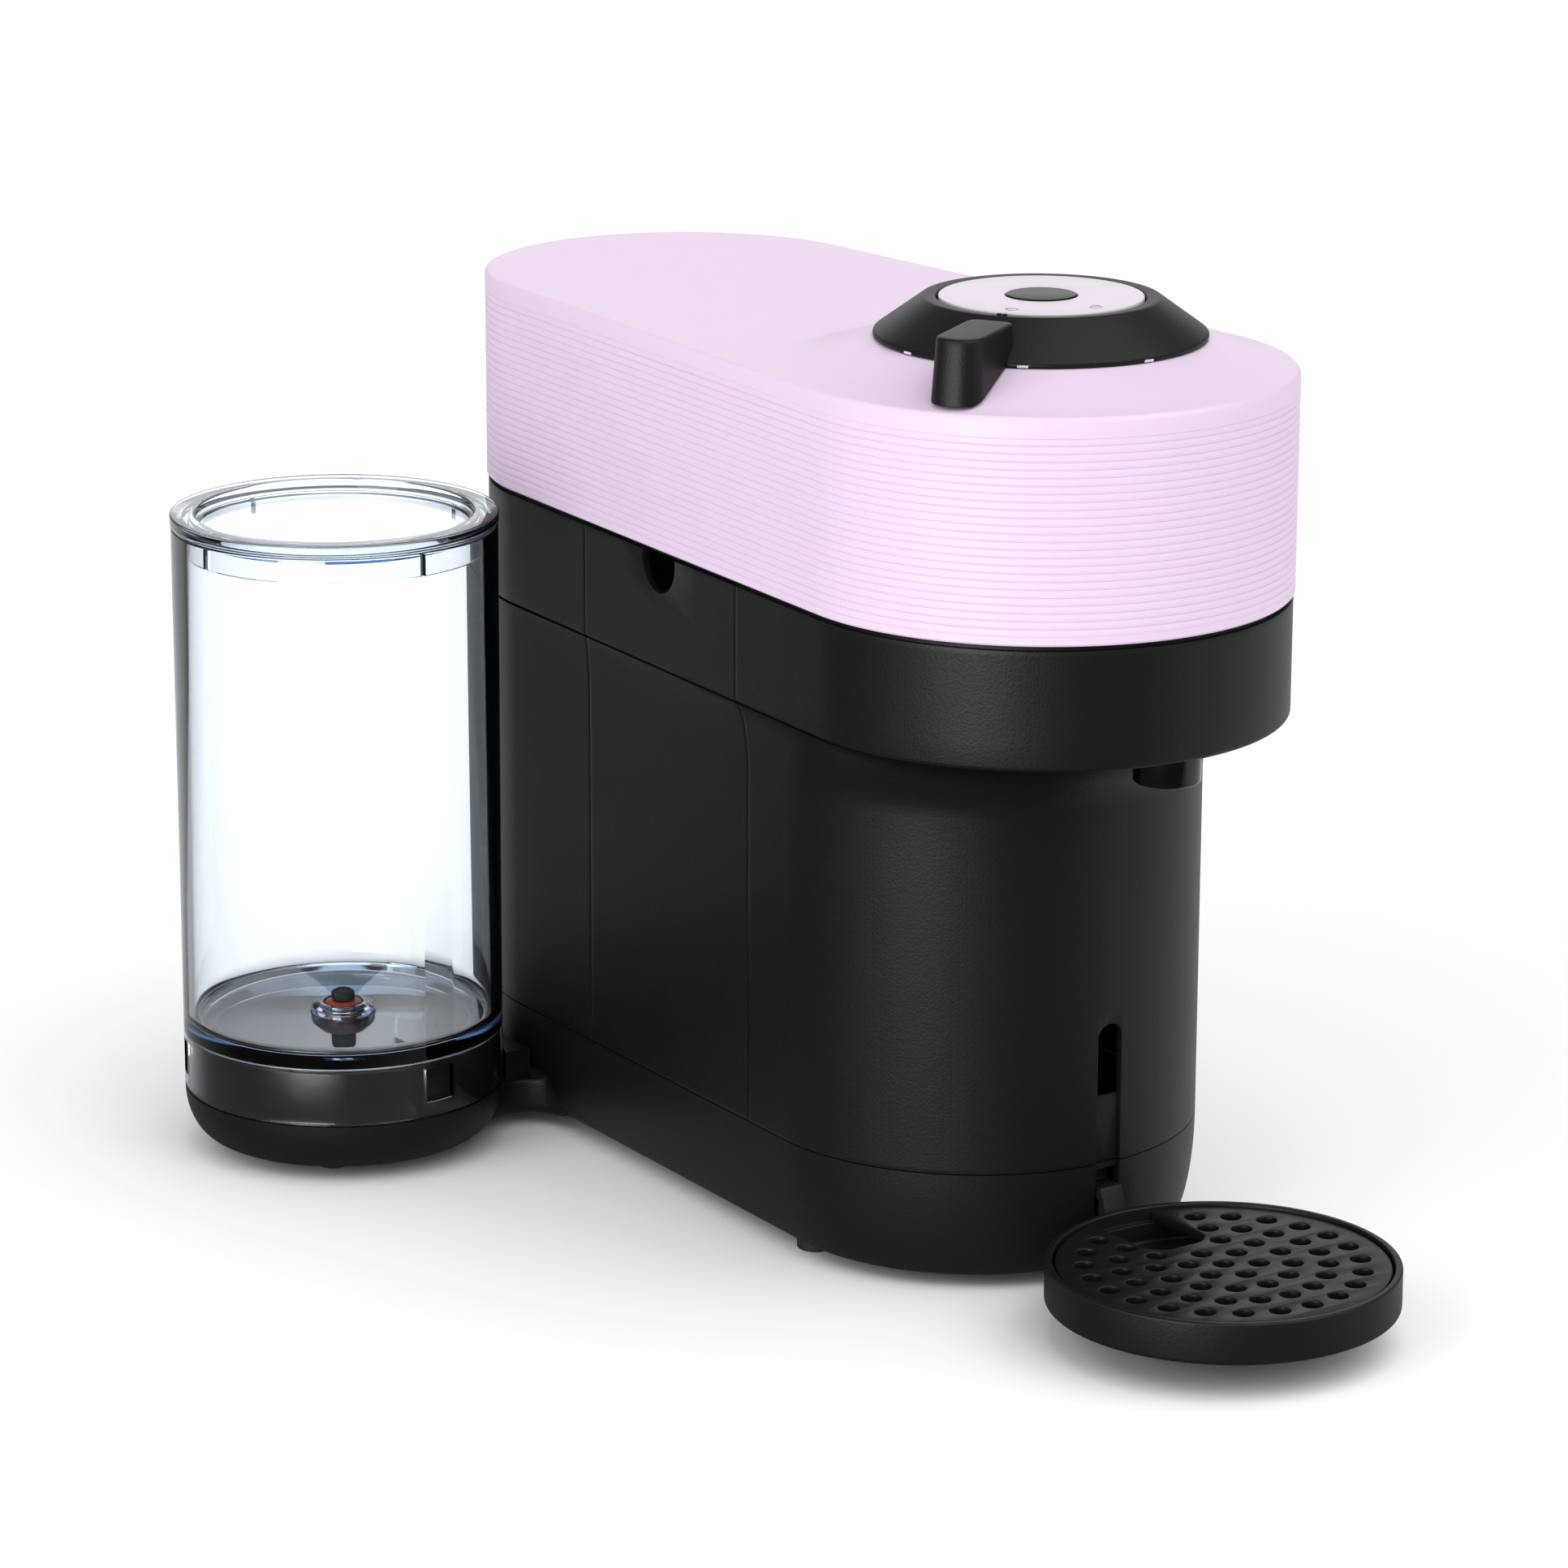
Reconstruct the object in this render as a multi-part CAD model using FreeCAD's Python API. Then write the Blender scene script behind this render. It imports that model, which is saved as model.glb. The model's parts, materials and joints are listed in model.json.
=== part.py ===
"""Pod coffee machine: body, head lid with locking ring, side water tank, capsule bin, cup support.

Modelled about the head's vertical axis (x = y = 0, front towards -Y, ground at z = 0) and moved at
export so that the origin is the bottom centre of the whole machine's box. Millimetres, +Z up.
"""
import FreeCAD, Part
import math
import os

V = FreeCAD.Vector
GAP = 0.4                 # clearance between pieces that move apart
WALL = 2.5                # moulded wall of the body shells

# Plans are the outline round two circles on the centre line:
# (front radius, front centre y, rear radius, rear centre y).
HEAD_R, REAR_R, REAR_Y = 66.0, 54.8, 163.1
COLUMN_R, COLUMN_Y = 59.2, 25.2
COVER_PLAN = (HEAD_R, 0.0, REAR_R, REAR_Y)
HEAD_PLAN = (HEAD_R - 0.5, 0.0, REAR_R - 0.5, REAR_Y)
COLUMN_PLAN = (COLUMN_R, COLUMN_Y, REAR_R - 0.5, REAR_Y)

FOOT_Z = 3.8              # underside of the base moulding
SEAM_Z = 33.2             # seam between base and column
BASE_INSET = 6.6          # how far the base's round lower edge pulls in
FLARE_Z, HEAD_Z = 128.0, 147.7      # the column flares out into the head between these
HEAD_TOP = 178.7
COVER_Z, RIM_Z = 180.0, 237.0       # lilac cover, from lower edge to rim
MOUND_R, MOUND_Z = 42.7, 244.6      # low cone on the cover, under the locking ring

RING_R, RING_TOP_R, RING_Z, RING_TOP = 42.6, 30.1, 244.9, 255.0
DISC_R, DISC_TOP = 26.1, 255.3
BUTTON_R, BUTTON_TRAVEL = 8.95, 1.0
LEVER_ANGLE = -147.2      # degrees about the head's axis, locked
LEVER_ROOT, LEVER_TOP_Z, LEVER_FOOT_Z = 35.0, 255.0, 238.6
HINGE_Y, HINGE_Z = 46.0, 241.2

DECK_Z = 188.0            # inner deck that carries the motor and the collector
ROTOR_Z = 203.0           # floor of the capsule holder

PANEL_Y0, PANEL_Y1 = 45.5, 125.7    # side panel of the used-capsule container
NOTCH_Y, NOTCH_R, NOTCH_Z = 85.6, 8.6, 177.0

TANK_X, TANK_Y, TANK_R = -103.8, 177.9, 44.3
TANK_Z0, TANK_FLOOR, TANK_TOP = 17.8, 33.6, 175.3
TANK_LID_R, LID_TOP = 44.5, 178.9
TANK_FOOT_R = 35.7

TRAY_Y, TRAY_R, TRAY_Z0, TRAY_TOP = -82.0, 45.2, 9.8, 20.9
SLOT_W = 7.6              # width of the slots and of the channel on the column's front
OUTLET_Y, OUTLET_R, OUTLET_Z = -55.0, 8.6, 140.4

X_MIN, X_MAX = TANK_X - TANK_LID_R, HEAD_R
Y_MIN, Y_MAX = TRAY_Y - TRAY_R, TANK_Y + TANK_LID_R
ORIGIN = V(-(X_MIN + X_MAX) / 2, -(Y_MIN + Y_MAX) / 2, 0)


# ---------------------------------------------------------------- basic shapes
def cyl(r, z0, z1, x=0.0, y=0.0):
    return Part.makeCylinder(r, z1 - z0, V(x, y, z0))


def tube(r_out, r_in, z0, z1, x=0.0, y=0.0):
    return cyl(r_out, z0, z1, x, y).cut(cyl(r_in, z0 - 1, z1 + 1, x, y))


def box(x0, x1, y0, y1, z0, z1):
    return Part.makeBox(x1 - x0, y1 - y0, z1 - z0, V(x0, y0, z0))


def rod(r, start, end):
    """Round bar from one point to another."""
    along = V(*end) - V(*start)
    return Part.makeCylinder(r, along.Length, V(*start), along)


def turned(profile, x=0.0, y=0.0):
    """Solid of revolution about a vertical axis from closed (radius, z) points."""
    points = [V(r, 0, z) for r, z in profile]
    face = Part.Face(Part.makePolygon(points + points[:1]))
    solid = face.revolve(V(0, 0, 0), V(0, 0, 1), 360)
    solid.translate(V(x, y, 0))
    return solid


def prism(points, z0, z1):
    face = Part.Face(Part.makePolygon([V(x, y, z0) for x, y in points + points[:1]]))
    return face.extrude(V(0, 0, z1 - z0))


def inset(plan, d):
    return (plan[0] - d, plan[1], plan[2] - d, plan[3])


def outline(plan, z):
    """Closed wire round two circles: front arc, straight side, rear arc, straight side."""
    rf, yf, rr, yr = plan
    lean = math.asin((rf - rr) / (yr - yf))
    c, s = math.cos(lean), math.sin(lean)
    f1, f2 = V(rf * c, yf + rf * s, z), V(-rf * c, yf + rf * s, z)
    r1, r2 = V(rr * c, yr + rr * s, z), V(-rr * c, yr + rr * s, z)
    front = Part.Arc(f2, V(0, yf - rf, z), f1).toShape()
    rear = Part.Arc(r1, V(0, yr + rr, z), r2).toShape()
    return Part.Wire([front, Part.makeLine(f1, r1), rear, Part.makeLine(r2, f2)])


def slab(plan, z0, z1):
    return Part.Face(outline(plan, z0)).extrude(V(0, 0, z1 - z0))


def stack(sections):
    """Ruled solid through plans at rising heights."""
    return Part.makeLoft([outline(plan, z) for plan, z in sections], True, True)


def blend(a, b, t):
    return tuple(p + (q - p) * t for p, q in zip(a, b))


# ---------------------------------------------------------------- body shells
def base_solid(wall, z_floor):
    """Base outside (wall 0) or inside: the lower edge is a quarter of an ellipse."""
    rows = []
    for i in range(7):
        a = math.radians(90 - 15 * i)
        z = SEAM_Z - 0.1 - (SEAM_Z - 0.1 - z_floor) * math.sin(a)
        rows.append((inset(COLUMN_PLAN, wall + BASE_INSET * (1 - math.cos(a))), z))
    return stack(rows)


def body_solid(wall):
    """Column, flare and head in one, outside (wall 0) or inside."""
    rows = [(inset(COLUMN_PLAN, wall), SEAM_Z + 0.2)]
    for i in range(7):
        a = math.radians(15 * i)
        t = 1 - math.cos(a)
        z = FLARE_Z + (HEAD_Z + wall - FLARE_Z) * math.sin(a)
        rows.append((inset(blend(COLUMN_PLAN, HEAD_PLAN, t), wall), z))
    flare = stack(rows)
    return flare.fuse(slab(inset(HEAD_PLAN, wall), HEAD_Z + wall, HEAD_TOP))


def body_shell():
    shell = body_solid(0).cut(body_solid(WALL)).cut(box(-90, 90, -90, 230, HEAD_TOP - 0.01, 190))
    opening = box(-90, -30, PANEL_Y0 - 0.2, PANEL_Y1 + 0.2, SEAM_Z - 1, HEAD_TOP + 1)
    return shell.cut(opening)


def front_slots():
    """Long slot, the channel under it and the hook's slot, all in one cutter."""
    half = SLOT_W / 2
    long_slot = box(-half, half, -36, -28, 51.4, 67.0)
    round_top = Part.makeCylinder(half, 8, V(0, -36, 67.0), V(0, 1, 0))
    channel = box(-half, half, -36, -32.7, 31.5, 51.4)
    hook_slot = box(-half, half, -36, -28, 22.5, 31.5)
    return long_slot.fuse([round_top, channel, hook_slot])


def front_shell():
    shell = body_shell().common(box(-90, 90, -90, PANEL_Y1 + 0.2, 0, 200))
    return shell.cut(front_slots()).cut(cyl(OUTLET_R - 1.5, 140, 152, 0, OUTLET_Y))


def rear_shell():
    shell = body_shell().common(box(-90, 90, PANEL_Y1 + 0.5, 240, 0, 200))
    for i in range(9):
        shell = shell.cut(box(-18, 18, 205, 230, 60 + 6 * i, 62.5 + 6 * i))
    return shell


def neck_plate():
    """Bridge from the base to the tank foot, with a hollow curve on each side."""
    points = [(-45, 146.3), (-62.3, 146.3), (-66.8, 156.0), (-78, 153.5), (TANK_X, TANK_Y),
              (-55.3, 206), (-40, 196)]
    plate = prism(points, FOOT_Z, 14.0)
    plate = plate.cut(cyl(10.7, 0, 20, -62.3, 146.3))
    return plate.cut(cyl(20.0, 0, 20, -55.3, 206.0))


def tank_foot_solid():
    """Bowl under the tank, its lower edge a quarter of an ellipse."""
    profile = [(0, FOOT_Z), (TANK_FOOT_R, FOOT_Z)]
    for i in range(1, 7):
        a = math.radians(15 * i)
        profile.append((TANK_FOOT_R + 8.3 * math.sin(a), 17.4 - 13.6 * math.cos(a)))
    return turned(profile + [(0, 17.4)], TANK_X, TANK_Y)


def base_moulding():
    outer = base_solid(0, FOOT_Z)
    inner = base_solid(WALL, FOOT_Z + 2.4)
    tub = outer.cut(inner)
    foot = tank_foot_solid().cut(cyl(33.0, 8.0, 18.0, TANK_X, TANK_Y))
    whole = tub.fuse([neck_plate().cut(inner).cut(cyl(33.0, 8.0, 18.0, TANK_X, TANK_Y)), foot])
    inlet = box(-56, -44, 168, 182, 8, 12)
    whole = whole.cut(front_slots()).cut(inlet)
    return whole.cut(rod(4.55, (30, 195, 16), (30, 215, 16))).removeSplitter()


def rubber_feet():
    spots = [(-46.5, 31.2), (46.5, 31.2), (-36, 186), (36, 186), (-118, 160), (-118, 195)]
    return Part.makeCompound([turned([(0, 0), (4.6, 0), (5, 0.6), (5, FOOT_Z), (0, FOOT_Z)], x, y)
                              for x, y in spots])


def case_screws():
    """Four screws up through the floor of the base."""
    return Part.makeCompound([turned([(0, 6.3), (3.2, 6.3), (3.2, 8.2), (1.5, 8.2), (1.5, 11.5),
                                      (0, 11.5)], x, y)
                              for x in (-30, 30) for y in (5, 180)])


def gap_trim():
    """Dark ring set back between the head and the lilac cover."""
    return slab(inset(COVER_PLAN, 1.6), HEAD_TOP + 0.02, COVER_Z - 0.02).cut(
        slab(inset(COVER_PLAN, 4.5), HEAD_TOP - 1, COVER_Z + 1)).cut(
        box(-90, -30, PANEL_Y0 - 0.2, PANEL_Y1 + 0.2, HEAD_TOP - 2, HEAD_TOP + 0.3))


def top_cover():
    mound = turned([(0, 236), (65.0, 236.0), (65.0, RIM_Z), (MOUND_R, MOUND_Z), (0, MOUND_Z)])
    outer = slab(COVER_PLAN, COVER_Z, RIM_Z).fuse(mound)
    inside = turned([(0, 233), (62.0, 233), (62.0, RIM_Z - WALL), (40.5, MOUND_Z - WALL),
                     (0, MOUND_Z - WALL)])
    inner = slab(inset(COVER_PLAN, WALL), COVER_Z - 1, RIM_Z - WALL).fuse(inside)
    blocks = [box(x0, x1, 42.9, 49.6, 236.5, 243.4) for x0, x1 in ((-9.6, -5.1), (5.1, 9.6))]
    cover = outer.cut(inner).fuse([b.common(outer) for b in blocks]).cut(cyl(38.5, 230, 250))
    slot = box(-5.1, 5.1, 34, 49.0, 230, 250)
    bore = rod(1.55, (-9.0, HINGE_Y, HINGE_Z), (9.0, HINGE_Y, HINGE_Z))
    return cover.cut(slot).cut(bore).removeSplitter()


# ---------------------------------------------------------------- head lid
def hinge_pin():
    return rod(1.5, (-8.8, HINGE_Y, HINGE_Z), (8.8, HINGE_Y, HINGE_Z))


def hinge_knuckle():
    """Lilac tongue of the lid with its barrel, level with the cover when the lid is shut."""
    arm = box(-4.5, 4.5, 33.5, HINGE_Y, 240.2, 242.5).cut(cyl(33.8, 236, 246))
    barrel = rod(2.45, (-4.5, HINGE_Y, HINGE_Z), (4.5, HINGE_Y, HINGE_Z))
    bore = rod(1.55, (-6, HINGE_Y, HINGE_Z), (6, HINGE_Y, HINGE_Z))
    return arm.fuse(barrel).cut(bore)


def lid_carrier():
    """Disc under the locking ring, with a seat for the tongue and the button's pocket."""
    body = turned([(0, 238.5), (37.7, 238.5), (37.7, 244.3), (26.0, 244.3), (26.0, 253.2),
                   (0, 253.2)])
    seat = box(-4.5, 4.5, 30, 40, 240.2, 242.5).cut(cyl(33.8, 236, 246))
    body = body.cut(seat)
    body = body.cut(cyl(11.0, 238.0, 243.2)).cut(cyl(1.5, 243.0, 246.5))
    return body.cut(cyl(9.5, 249.4, 254)).cut(cyl(2.6, 246.6, 250))


def lid_disc():
    return tube(DISC_R, BUTTON_R + 0.35, 253.22, DISC_TOP)


def brew_button():
    return turned([(0, 247.8), (2.3, 247.8), (2.3, 252.6), (BUTTON_R, 252.6), (BUTTON_R, 255.2),
                   (BUTTON_R - 0.5, 255.6), (0, 255.4)])


def button_spring():
    return tube(4.4, 3.4, 249.5, 251.3)


def bell_bearing():
    return tube(10.98, 6.05, 238.6, 243.1)


def water_needle():
    return turned([(0, 227.4), (0.4, 227.4), (1.45, 229.6), (1.45, 246.4), (0, 246.4)])


def clamp_bell():
    """Spinning plate that clamps the capsule's rim, with its hollow shaft and piercing teeth."""
    plate = turned([(3.0, 229.8), (32.0, 229.8), (33.0, 231.5), (33.0, 236.0), (26.0, 238.0),
                    (6.0, 238.0), (6.0, 243.0), (3.0, 243.0)])
    groove = tube(29.0, 12.0, 229.0, 232.5)
    ribs = [box(11, 30, -1, 1, 230.2, 233) for _ in range(6)]
    for i, rib in enumerate(ribs):
        rib.rotate(V(0, 0, 0), V(0, 0, 1), 60 * i)
    return plate.cut(groove).fuse(ribs)


def ring_cone():
    return turned([(0, RING_Z), (RING_R, RING_Z), (RING_R, RING_Z + 0.8), (RING_TOP_R + 0.4, 254.6),
                   (RING_TOP_R - 0.3, RING_TOP), (0, RING_TOP)])


def locking_ring():
    tabs = []
    for i in range(3):
        tab = box(39.0, 42.0, -2.0, 2.0, RING_Z, RING_Z + 3)
        tab.rotate(V(0, 0, 0), V(0, 0, 1), 120 * i + 30)
        tabs.append(tab)
    bore = turned([(0, 240), (34.0, 240), (34.0, 249.0), (26.5, 252.0), (26.5, 260), (0, 260)])
    return ring_cone().cut(bore).fuse(tabs).removeSplitter()


def pointer_pip():
    pip = cyl(0.9, RING_TOP + 0.01, RING_TOP + 0.3, 28.3, 0)
    pip.rotate(V(0, 0, 0), V(0, 0, 1), LEVER_ANGLE)
    return pip


def lever_plan(half, centre, z):
    """Bar with a round nose, as a closed wire."""
    nose = Part.Arc(V(centre, -half, z), V(centre + half, 0, z), V(centre, half, z)).toShape()
    a, b = V(LEVER_ROOT, half, z), V(LEVER_ROOT, -half, z)
    return Part.Wire([nose, Part.makeLine(V(centre, half, z), a), Part.makeLine(a, b),
                      Part.makeLine(b, V(centre, -half, z))])


def lever():
    """Knob that stands on the ring's cone and runs out over the mound, wider at its foot."""
    body = Part.makeLoft([lever_plan(6.7, 57.6, LEVER_FOOT_Z), lever_plan(6.0, 56.3, LEVER_TOP_Z)],
                         True, True)
    slope = (MOUND_Z - RIM_Z) / (65.0 - MOUND_R)
    under = turned([(0, 230), (70, 230), (70, MOUND_Z + 0.5 - slope * (70 - MOUND_R)),
                    (MOUND_R, MOUND_Z + 0.5), (0, MOUND_Z + 0.5)])
    arm = body.cut(under).cut(ring_cone())
    arm.rotate(V(0, 0, 0), V(0, 0, 1), LEVER_ANGLE)
    return arm


# ---------------------------------------------------------------- brewing unit
def inner_deck():
    deck = slab(inset(COVER_PLAN, 3.2), DECK_Z, DECK_Z + 3)
    for hole in (cyl(13.0, 180, 200), cyl(7.2, 180, 200, 0, -50.5), box(-36, 36, 52, 118, 180, 200),
                 cyl(6, 180, 200, 30, 140), cyl(6, 180, 200, -20, 40)):
        deck = deck.cut(hole)
    return deck


def coffee_collector():
    """Still ring round the spinning capsule holder, with the port that leads to the outlet."""
    cup = turned([(16.0, 196.0), (44.0, 196.0), (44.0, 231.8), (41.5, 231.8), (41.5, 198.5),
                  (18.5, 198.5), (18.5, 201.0), (16.0, 201.0)])
    port = box(-6, 6, -58, -42.8, 196, 209).cut(box(-4.5, 4.5, -56.5, -40, 198, 207.5))
    foot = tube(17.0, 14.0, DECK_Z + 3, 196)
    window = box(-4.5, 4.5, -46, -40, 198.5, 207.5)
    return cup.cut(window).fuse([port.cut(cyl(41.6, 190, 240)), foot]).cut(
        cyl(4.5, 190, 200, 0, -50.5))


def outlet_duct():
    return tube(6.0, 4.5, 151.0, 196.0, 0, -50.5)


def coffee_outlet():
    """Gloss black nozzle under the head with two holes for the coffee."""
    body = turned([(0, OUTLET_Z), (OUTLET_R - 0.8, OUTLET_Z), (OUTLET_R, OUTLET_Z + 0.8),
                   (OUTLET_R, HEAD_Z), (0, HEAD_Z)], 0, OUTLET_Y).cut(body_solid(0))
    body = body.fuse(cyl(OUTLET_R - 1.55, OUTLET_Z + 1, 151.0, 0, OUTLET_Y))
    for x in (-3.0, 3.0):
        body = body.cut(cyl(1.6, OUTLET_Z - 1, 153, x, OUTLET_Y + 1.5))
    return body


def capsule_holder():
    return turned([(0, 199.5), (8.0, 199.5), (8.0, ROTOR_Z), (27.0, ROTOR_Z), (33.0, 212.0),
                   (33.0, 226.0), (36.0, 226.0), (36.0, 229.0), (30.5, 229.0), (30.5, 213.0),
                   (25.5, ROTOR_Z + 2.2), (0, ROTOR_Z + 2.2)])


def rotor_shaft():
    return cyl(5.0, 157.0, 199.5)


def motor_armature():
    return tube(18.0, 5.0, 165.0, 183.0)


def drive_motor():
    can = tube(26.0, 23.5, 160.0, DECK_Z).fuse(tube(24, 13.0, 160.0, 162.0))
    return can.fuse(tube(24, 13.0, DECK_Z - 2, DECK_Z))


def rotor_bearings():
    return Part.makeCompound([tube(12.98, 5.05, 160.0, 164.0), tube(12.98, 5.05, 188.0, 195.0)])


# ---------------------------------------------------------------- water path and power
def front_bulkhead():
    return box(-52, 52, 41, 43.5, 36, DECK_Z)


def rear_bulkhead():
    return box(-50, 50, 128.5, 131, 36, DECK_Z)


def pump():
    body = cyl(19.0, 48, 108, 24, 160).fuse(box(5, 43, 143, 177, 62, 94))
    return body.fuse([cyl(4.0, 108, 124, 24, 160), cyl(4.0, 40, 48, 24, 160)])


def pump_mounts():
    return Part.makeCompound([tube(23, 19.05, 50, 58, 24, 160), tube(23, 19.05, 98, 106, 24, 160)])


def thermoblock():
    body = box(-42, -14, 134, 184, 70, 128)
    ports = [rod(3.0, (-28, y, 128), (-28, y, 138)) for y in (146, 172)]
    return body.fuse(ports)


def flow_meter():
    return cyl(12.0, 44, 56, -14, 176).fuse(rod(2.8, (-20, 176, 50), (-39, 176, 50)))


def inlet_hose():
    """From the neck up to the flow meter."""
    return tube(4.6, 3.0, 16.0, 53, -41.5, 176).cut(rod(2.9, (-40, 176, 50), (-30, 176, 50)))


def pressure_hose():
    """From the pump up and across to the heater, in straight runs joined by arcs."""
    a, b = V(24, 160, 124.3), V(24, 160, 140)
    c, d = V(14, 160, 150), V(-19, 160, 150)
    bend = Part.Arc(b, V(24 - 10 * (1 - math.cos(math.pi / 4)), 160,
                         140 + 10 * math.sin(math.pi / 4)), c)
    path = Part.Wire([Part.makeLine(a, b), bend.toShape(), Part.makeLine(c, d)])
    ring = Part.Wire([Part.makeCircle(4.0, a, V(0, 0, 1))])
    return path.makePipeShell([ring], True, False)


def control_board():
    board = box(-40, 40, 33, 34.6, 50, 120)
    chips = [box(x, x + 9, 26, 33, z, z + 12) for x, z in ((-30, 60), (-8, 84), (14, 64), (18, 98))]
    return board.fuse(chips)


def cord_gland():
    return rod(4.5, (30, 199, 16), (30, 212, 16)).cut(rod(3.2, (30, 204, 16), (30, 214, 16)))


def connector_cover():
    """Small raised cover over the water joint on the neck."""
    low = box(-66.5, -55.6, 158.0, 196.0, 14.02, 22.4)
    return low.cut(cyl(45.0, 10, 30, TANK_X, TANK_Y)).cut(base_solid(0, FOOT_Z))


def tank_pedestal():
    shell = cyl(42.0, 17.42, SEAM_Z, TANK_X, TANK_Y)
    shell = shell.cut(cyl(39.5, 17.0, SEAM_Z - WALL, TANK_X, TANK_Y))
    return shell.cut(cyl(7.52, 25, 40, TANK_X, TANK_Y))


def inlet_socket():
    body = cyl(7.5, 24, 33.0, TANK_X, TANK_Y).fuse(cyl(1.4, 33.0, 34.6, TANK_X, TANK_Y))
    return body.fuse(cyl(4.5, 12, 24, TANK_X, TANK_Y))


# ---------------------------------------------------------------- water tank
def water_tank():
    """Clear cup with a floor above its skirt and three small windows in the skirt."""
    cup = turned([(42.4, TANK_Z0), (TANK_R - 0.3, TANK_Z0), (TANK_R, TANK_TOP),
                  (TANK_R - 2.6, TANK_TOP), (TANK_R - 2.9, 38.0), (40.0, 36.4), (0, 36.4),
                  (0, TANK_FLOOR), (42.4, TANK_FLOOR)], TANK_X, TANK_Y)
    for angle in (-84, 36, 156):
        window = box(40, 50, -4.6, 4.6, 22.0, 31.5)
        window.rotate(V(0, 0, 0), V(0, 0, 1), angle)
        window.translate(V(TANK_X, TANK_Y, 0))
        cup = cup.cut(window)
    return cup.cut(cyl(2.65, 30, 40, TANK_X, TANK_Y))


def valve_ring():
    return turned([(5.4, 36.42), (9.0, 36.42), (8.4, 38.6), (6.2, 39.4), (5.4, 39.4)], TANK_X, TANK_Y)


def valve_seal():
    return turned([(2.75, 36.42), (5.2, 36.42), (5.2, 38.4), (4.2, 39.4), (2.75, 39.4)], TANK_X, TANK_Y)


def valve_plunger():
    return turned([(0, 34.9), (2.2, 34.9), (2.2, 39.8), (3.2, 39.8), (3.2, 41.6), (2.6, 42.4),
                   (0, 42.4)], TANK_X, TANK_Y)


def tank_lid():
    """Flat lid with a sunk middle, held by a slit skirt inside the tank."""
    lid = turned([(0, 172.4), (37.0, 172.4), (37.0, TANK_TOP + 0.3), (TANK_LID_R, TANK_TOP + 0.3),
                  (TANK_LID_R, LID_TOP - 0.4), (TANK_LID_R - 0.4, LID_TOP), (37.8, LID_TOP),
                  (37.0, LID_TOP - 3.4), (0, LID_TOP - 3.4)], TANK_X, TANK_Y)
    skirt = tube(41.0, 39.4, 168.0, TANK_TOP + 0.6, TANK_X, TANK_Y)
    for i in range(4):
        slit = box(38, 43, -0.7, 0.7, 160, 175.0)
        slit.rotate(V(0, 0, 0), V(0, 0, 1), 90 * i - 86)
        slit.translate(V(TANK_X, TANK_Y, 0))
        skirt = skirt.cut(slit)
    return lid.fuse(skirt)


# ---------------------------------------------------------------- used-capsule container
def container_panel():
    bay = box(-90, -30, PANEL_Y0 + 0.2, PANEL_Y1 - 0.2, SEAM_Z + 0.3, HEAD_TOP)
    panel = body_solid(0).cut(body_solid(3.0)).common(bay)
    notch = rod(NOTCH_R, (-90, NOTCH_Y, NOTCH_Z), (-30, NOTCH_Y, NOTCH_Z))
    panel = panel.cut(notch).cut(box(-90, -30, 50, 120, HEAD_Z - 20, HEAD_Z).common(
        body_solid(3.0)))
    return max(panel.Solids, key=lambda s: s.Volume)


def capsule_bin():
    tub = box(-53.0, 40.0, 47.5, 123.5, 38.0, 120.0).cut(box(-51.0, 38.0, 49.5, 121.5, 40.0, 121.0))
    return tub.cut(body_solid(0).cut(body_solid(3.02)))


# ---------------------------------------------------------------- cup support
def drip_tray():
    return turned([(0, TRAY_Z0), (TRAY_R - 1.2, TRAY_Z0), (TRAY_R, TRAY_Z0 + 1.2), (TRAY_R, TRAY_TOP - 0.5), (TRAY_R - 0.5, TRAY_TOP),
                   (TRAY_R - 1.6, TRAY_TOP), (TRAY_R - 2.0, 17.2), (TRAY_R - 4.0, 17.2),
                   (TRAY_R - 4.0, TRAY_Z0 + 2.2), (0, TRAY_Z0 + 2.2)], 0, TRAY_Y)


def tray_hook():
    """Sloping rib from the tray's rear rim to the tongue that enters the hook slot."""
    side = [(-39.0, 14.0), (-37.5, 21.5), (-35.4, 27.0), (-29.0, 27.0), (-29.0, 30.6), (-27.6, 30.6),
            (-27.6, 24.0), (-34.6, 24.0), (-34.6, 14.0)]
    face = Part.Face(Part.makePolygon([V(-3.4, y, z) for y, z in side + side[:1]]))
    return face.extrude(V(6.8, 0, 0)).cut(cyl(TRAY_R, 0, 40, 0, TRAY_Y))


def drip_grid():
    """Round plate with four rings of holes round a middle one, and a notch for a fingertip.
    Each ring starts at the front and leaves the notch free."""
    r_grid, hole_r = TRAY_R - 2.6, 2.65
    plate = cyl(r_grid, 17.5, 20.1, 0, TRAY_Y)
    places = [(0.0, 0.0)]
    for radius, count, step in ((9.0, 6, 60.0), (17.6, 11, 28.8), (26.5, 17, 18.75),
                                (35.15, 21, 15.36)):
        for i in range(count):
            a = math.radians(-90 + step * (i - (count - 1) // 2))
            places.append((radius * math.cos(a), radius * math.sin(a)))
    holes = [cyl(hole_r, 10, 30, x, TRAY_Y + y) for x, y in places]
    notch = box(-9.6, 9.6, TRAY_Y + 22, TRAY_Y + 50, 10, 30).fuse(
        [box(-3.6, 3.6, TRAY_Y + 16, TRAY_Y + 30, 10, 30), cyl(6.0, 10, 30, -3.6, TRAY_Y + 22),
         cyl(6.0, 10, 30, 3.6, TRAY_Y + 22)])
    return plate.cut(holes).cut(notch)


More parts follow.
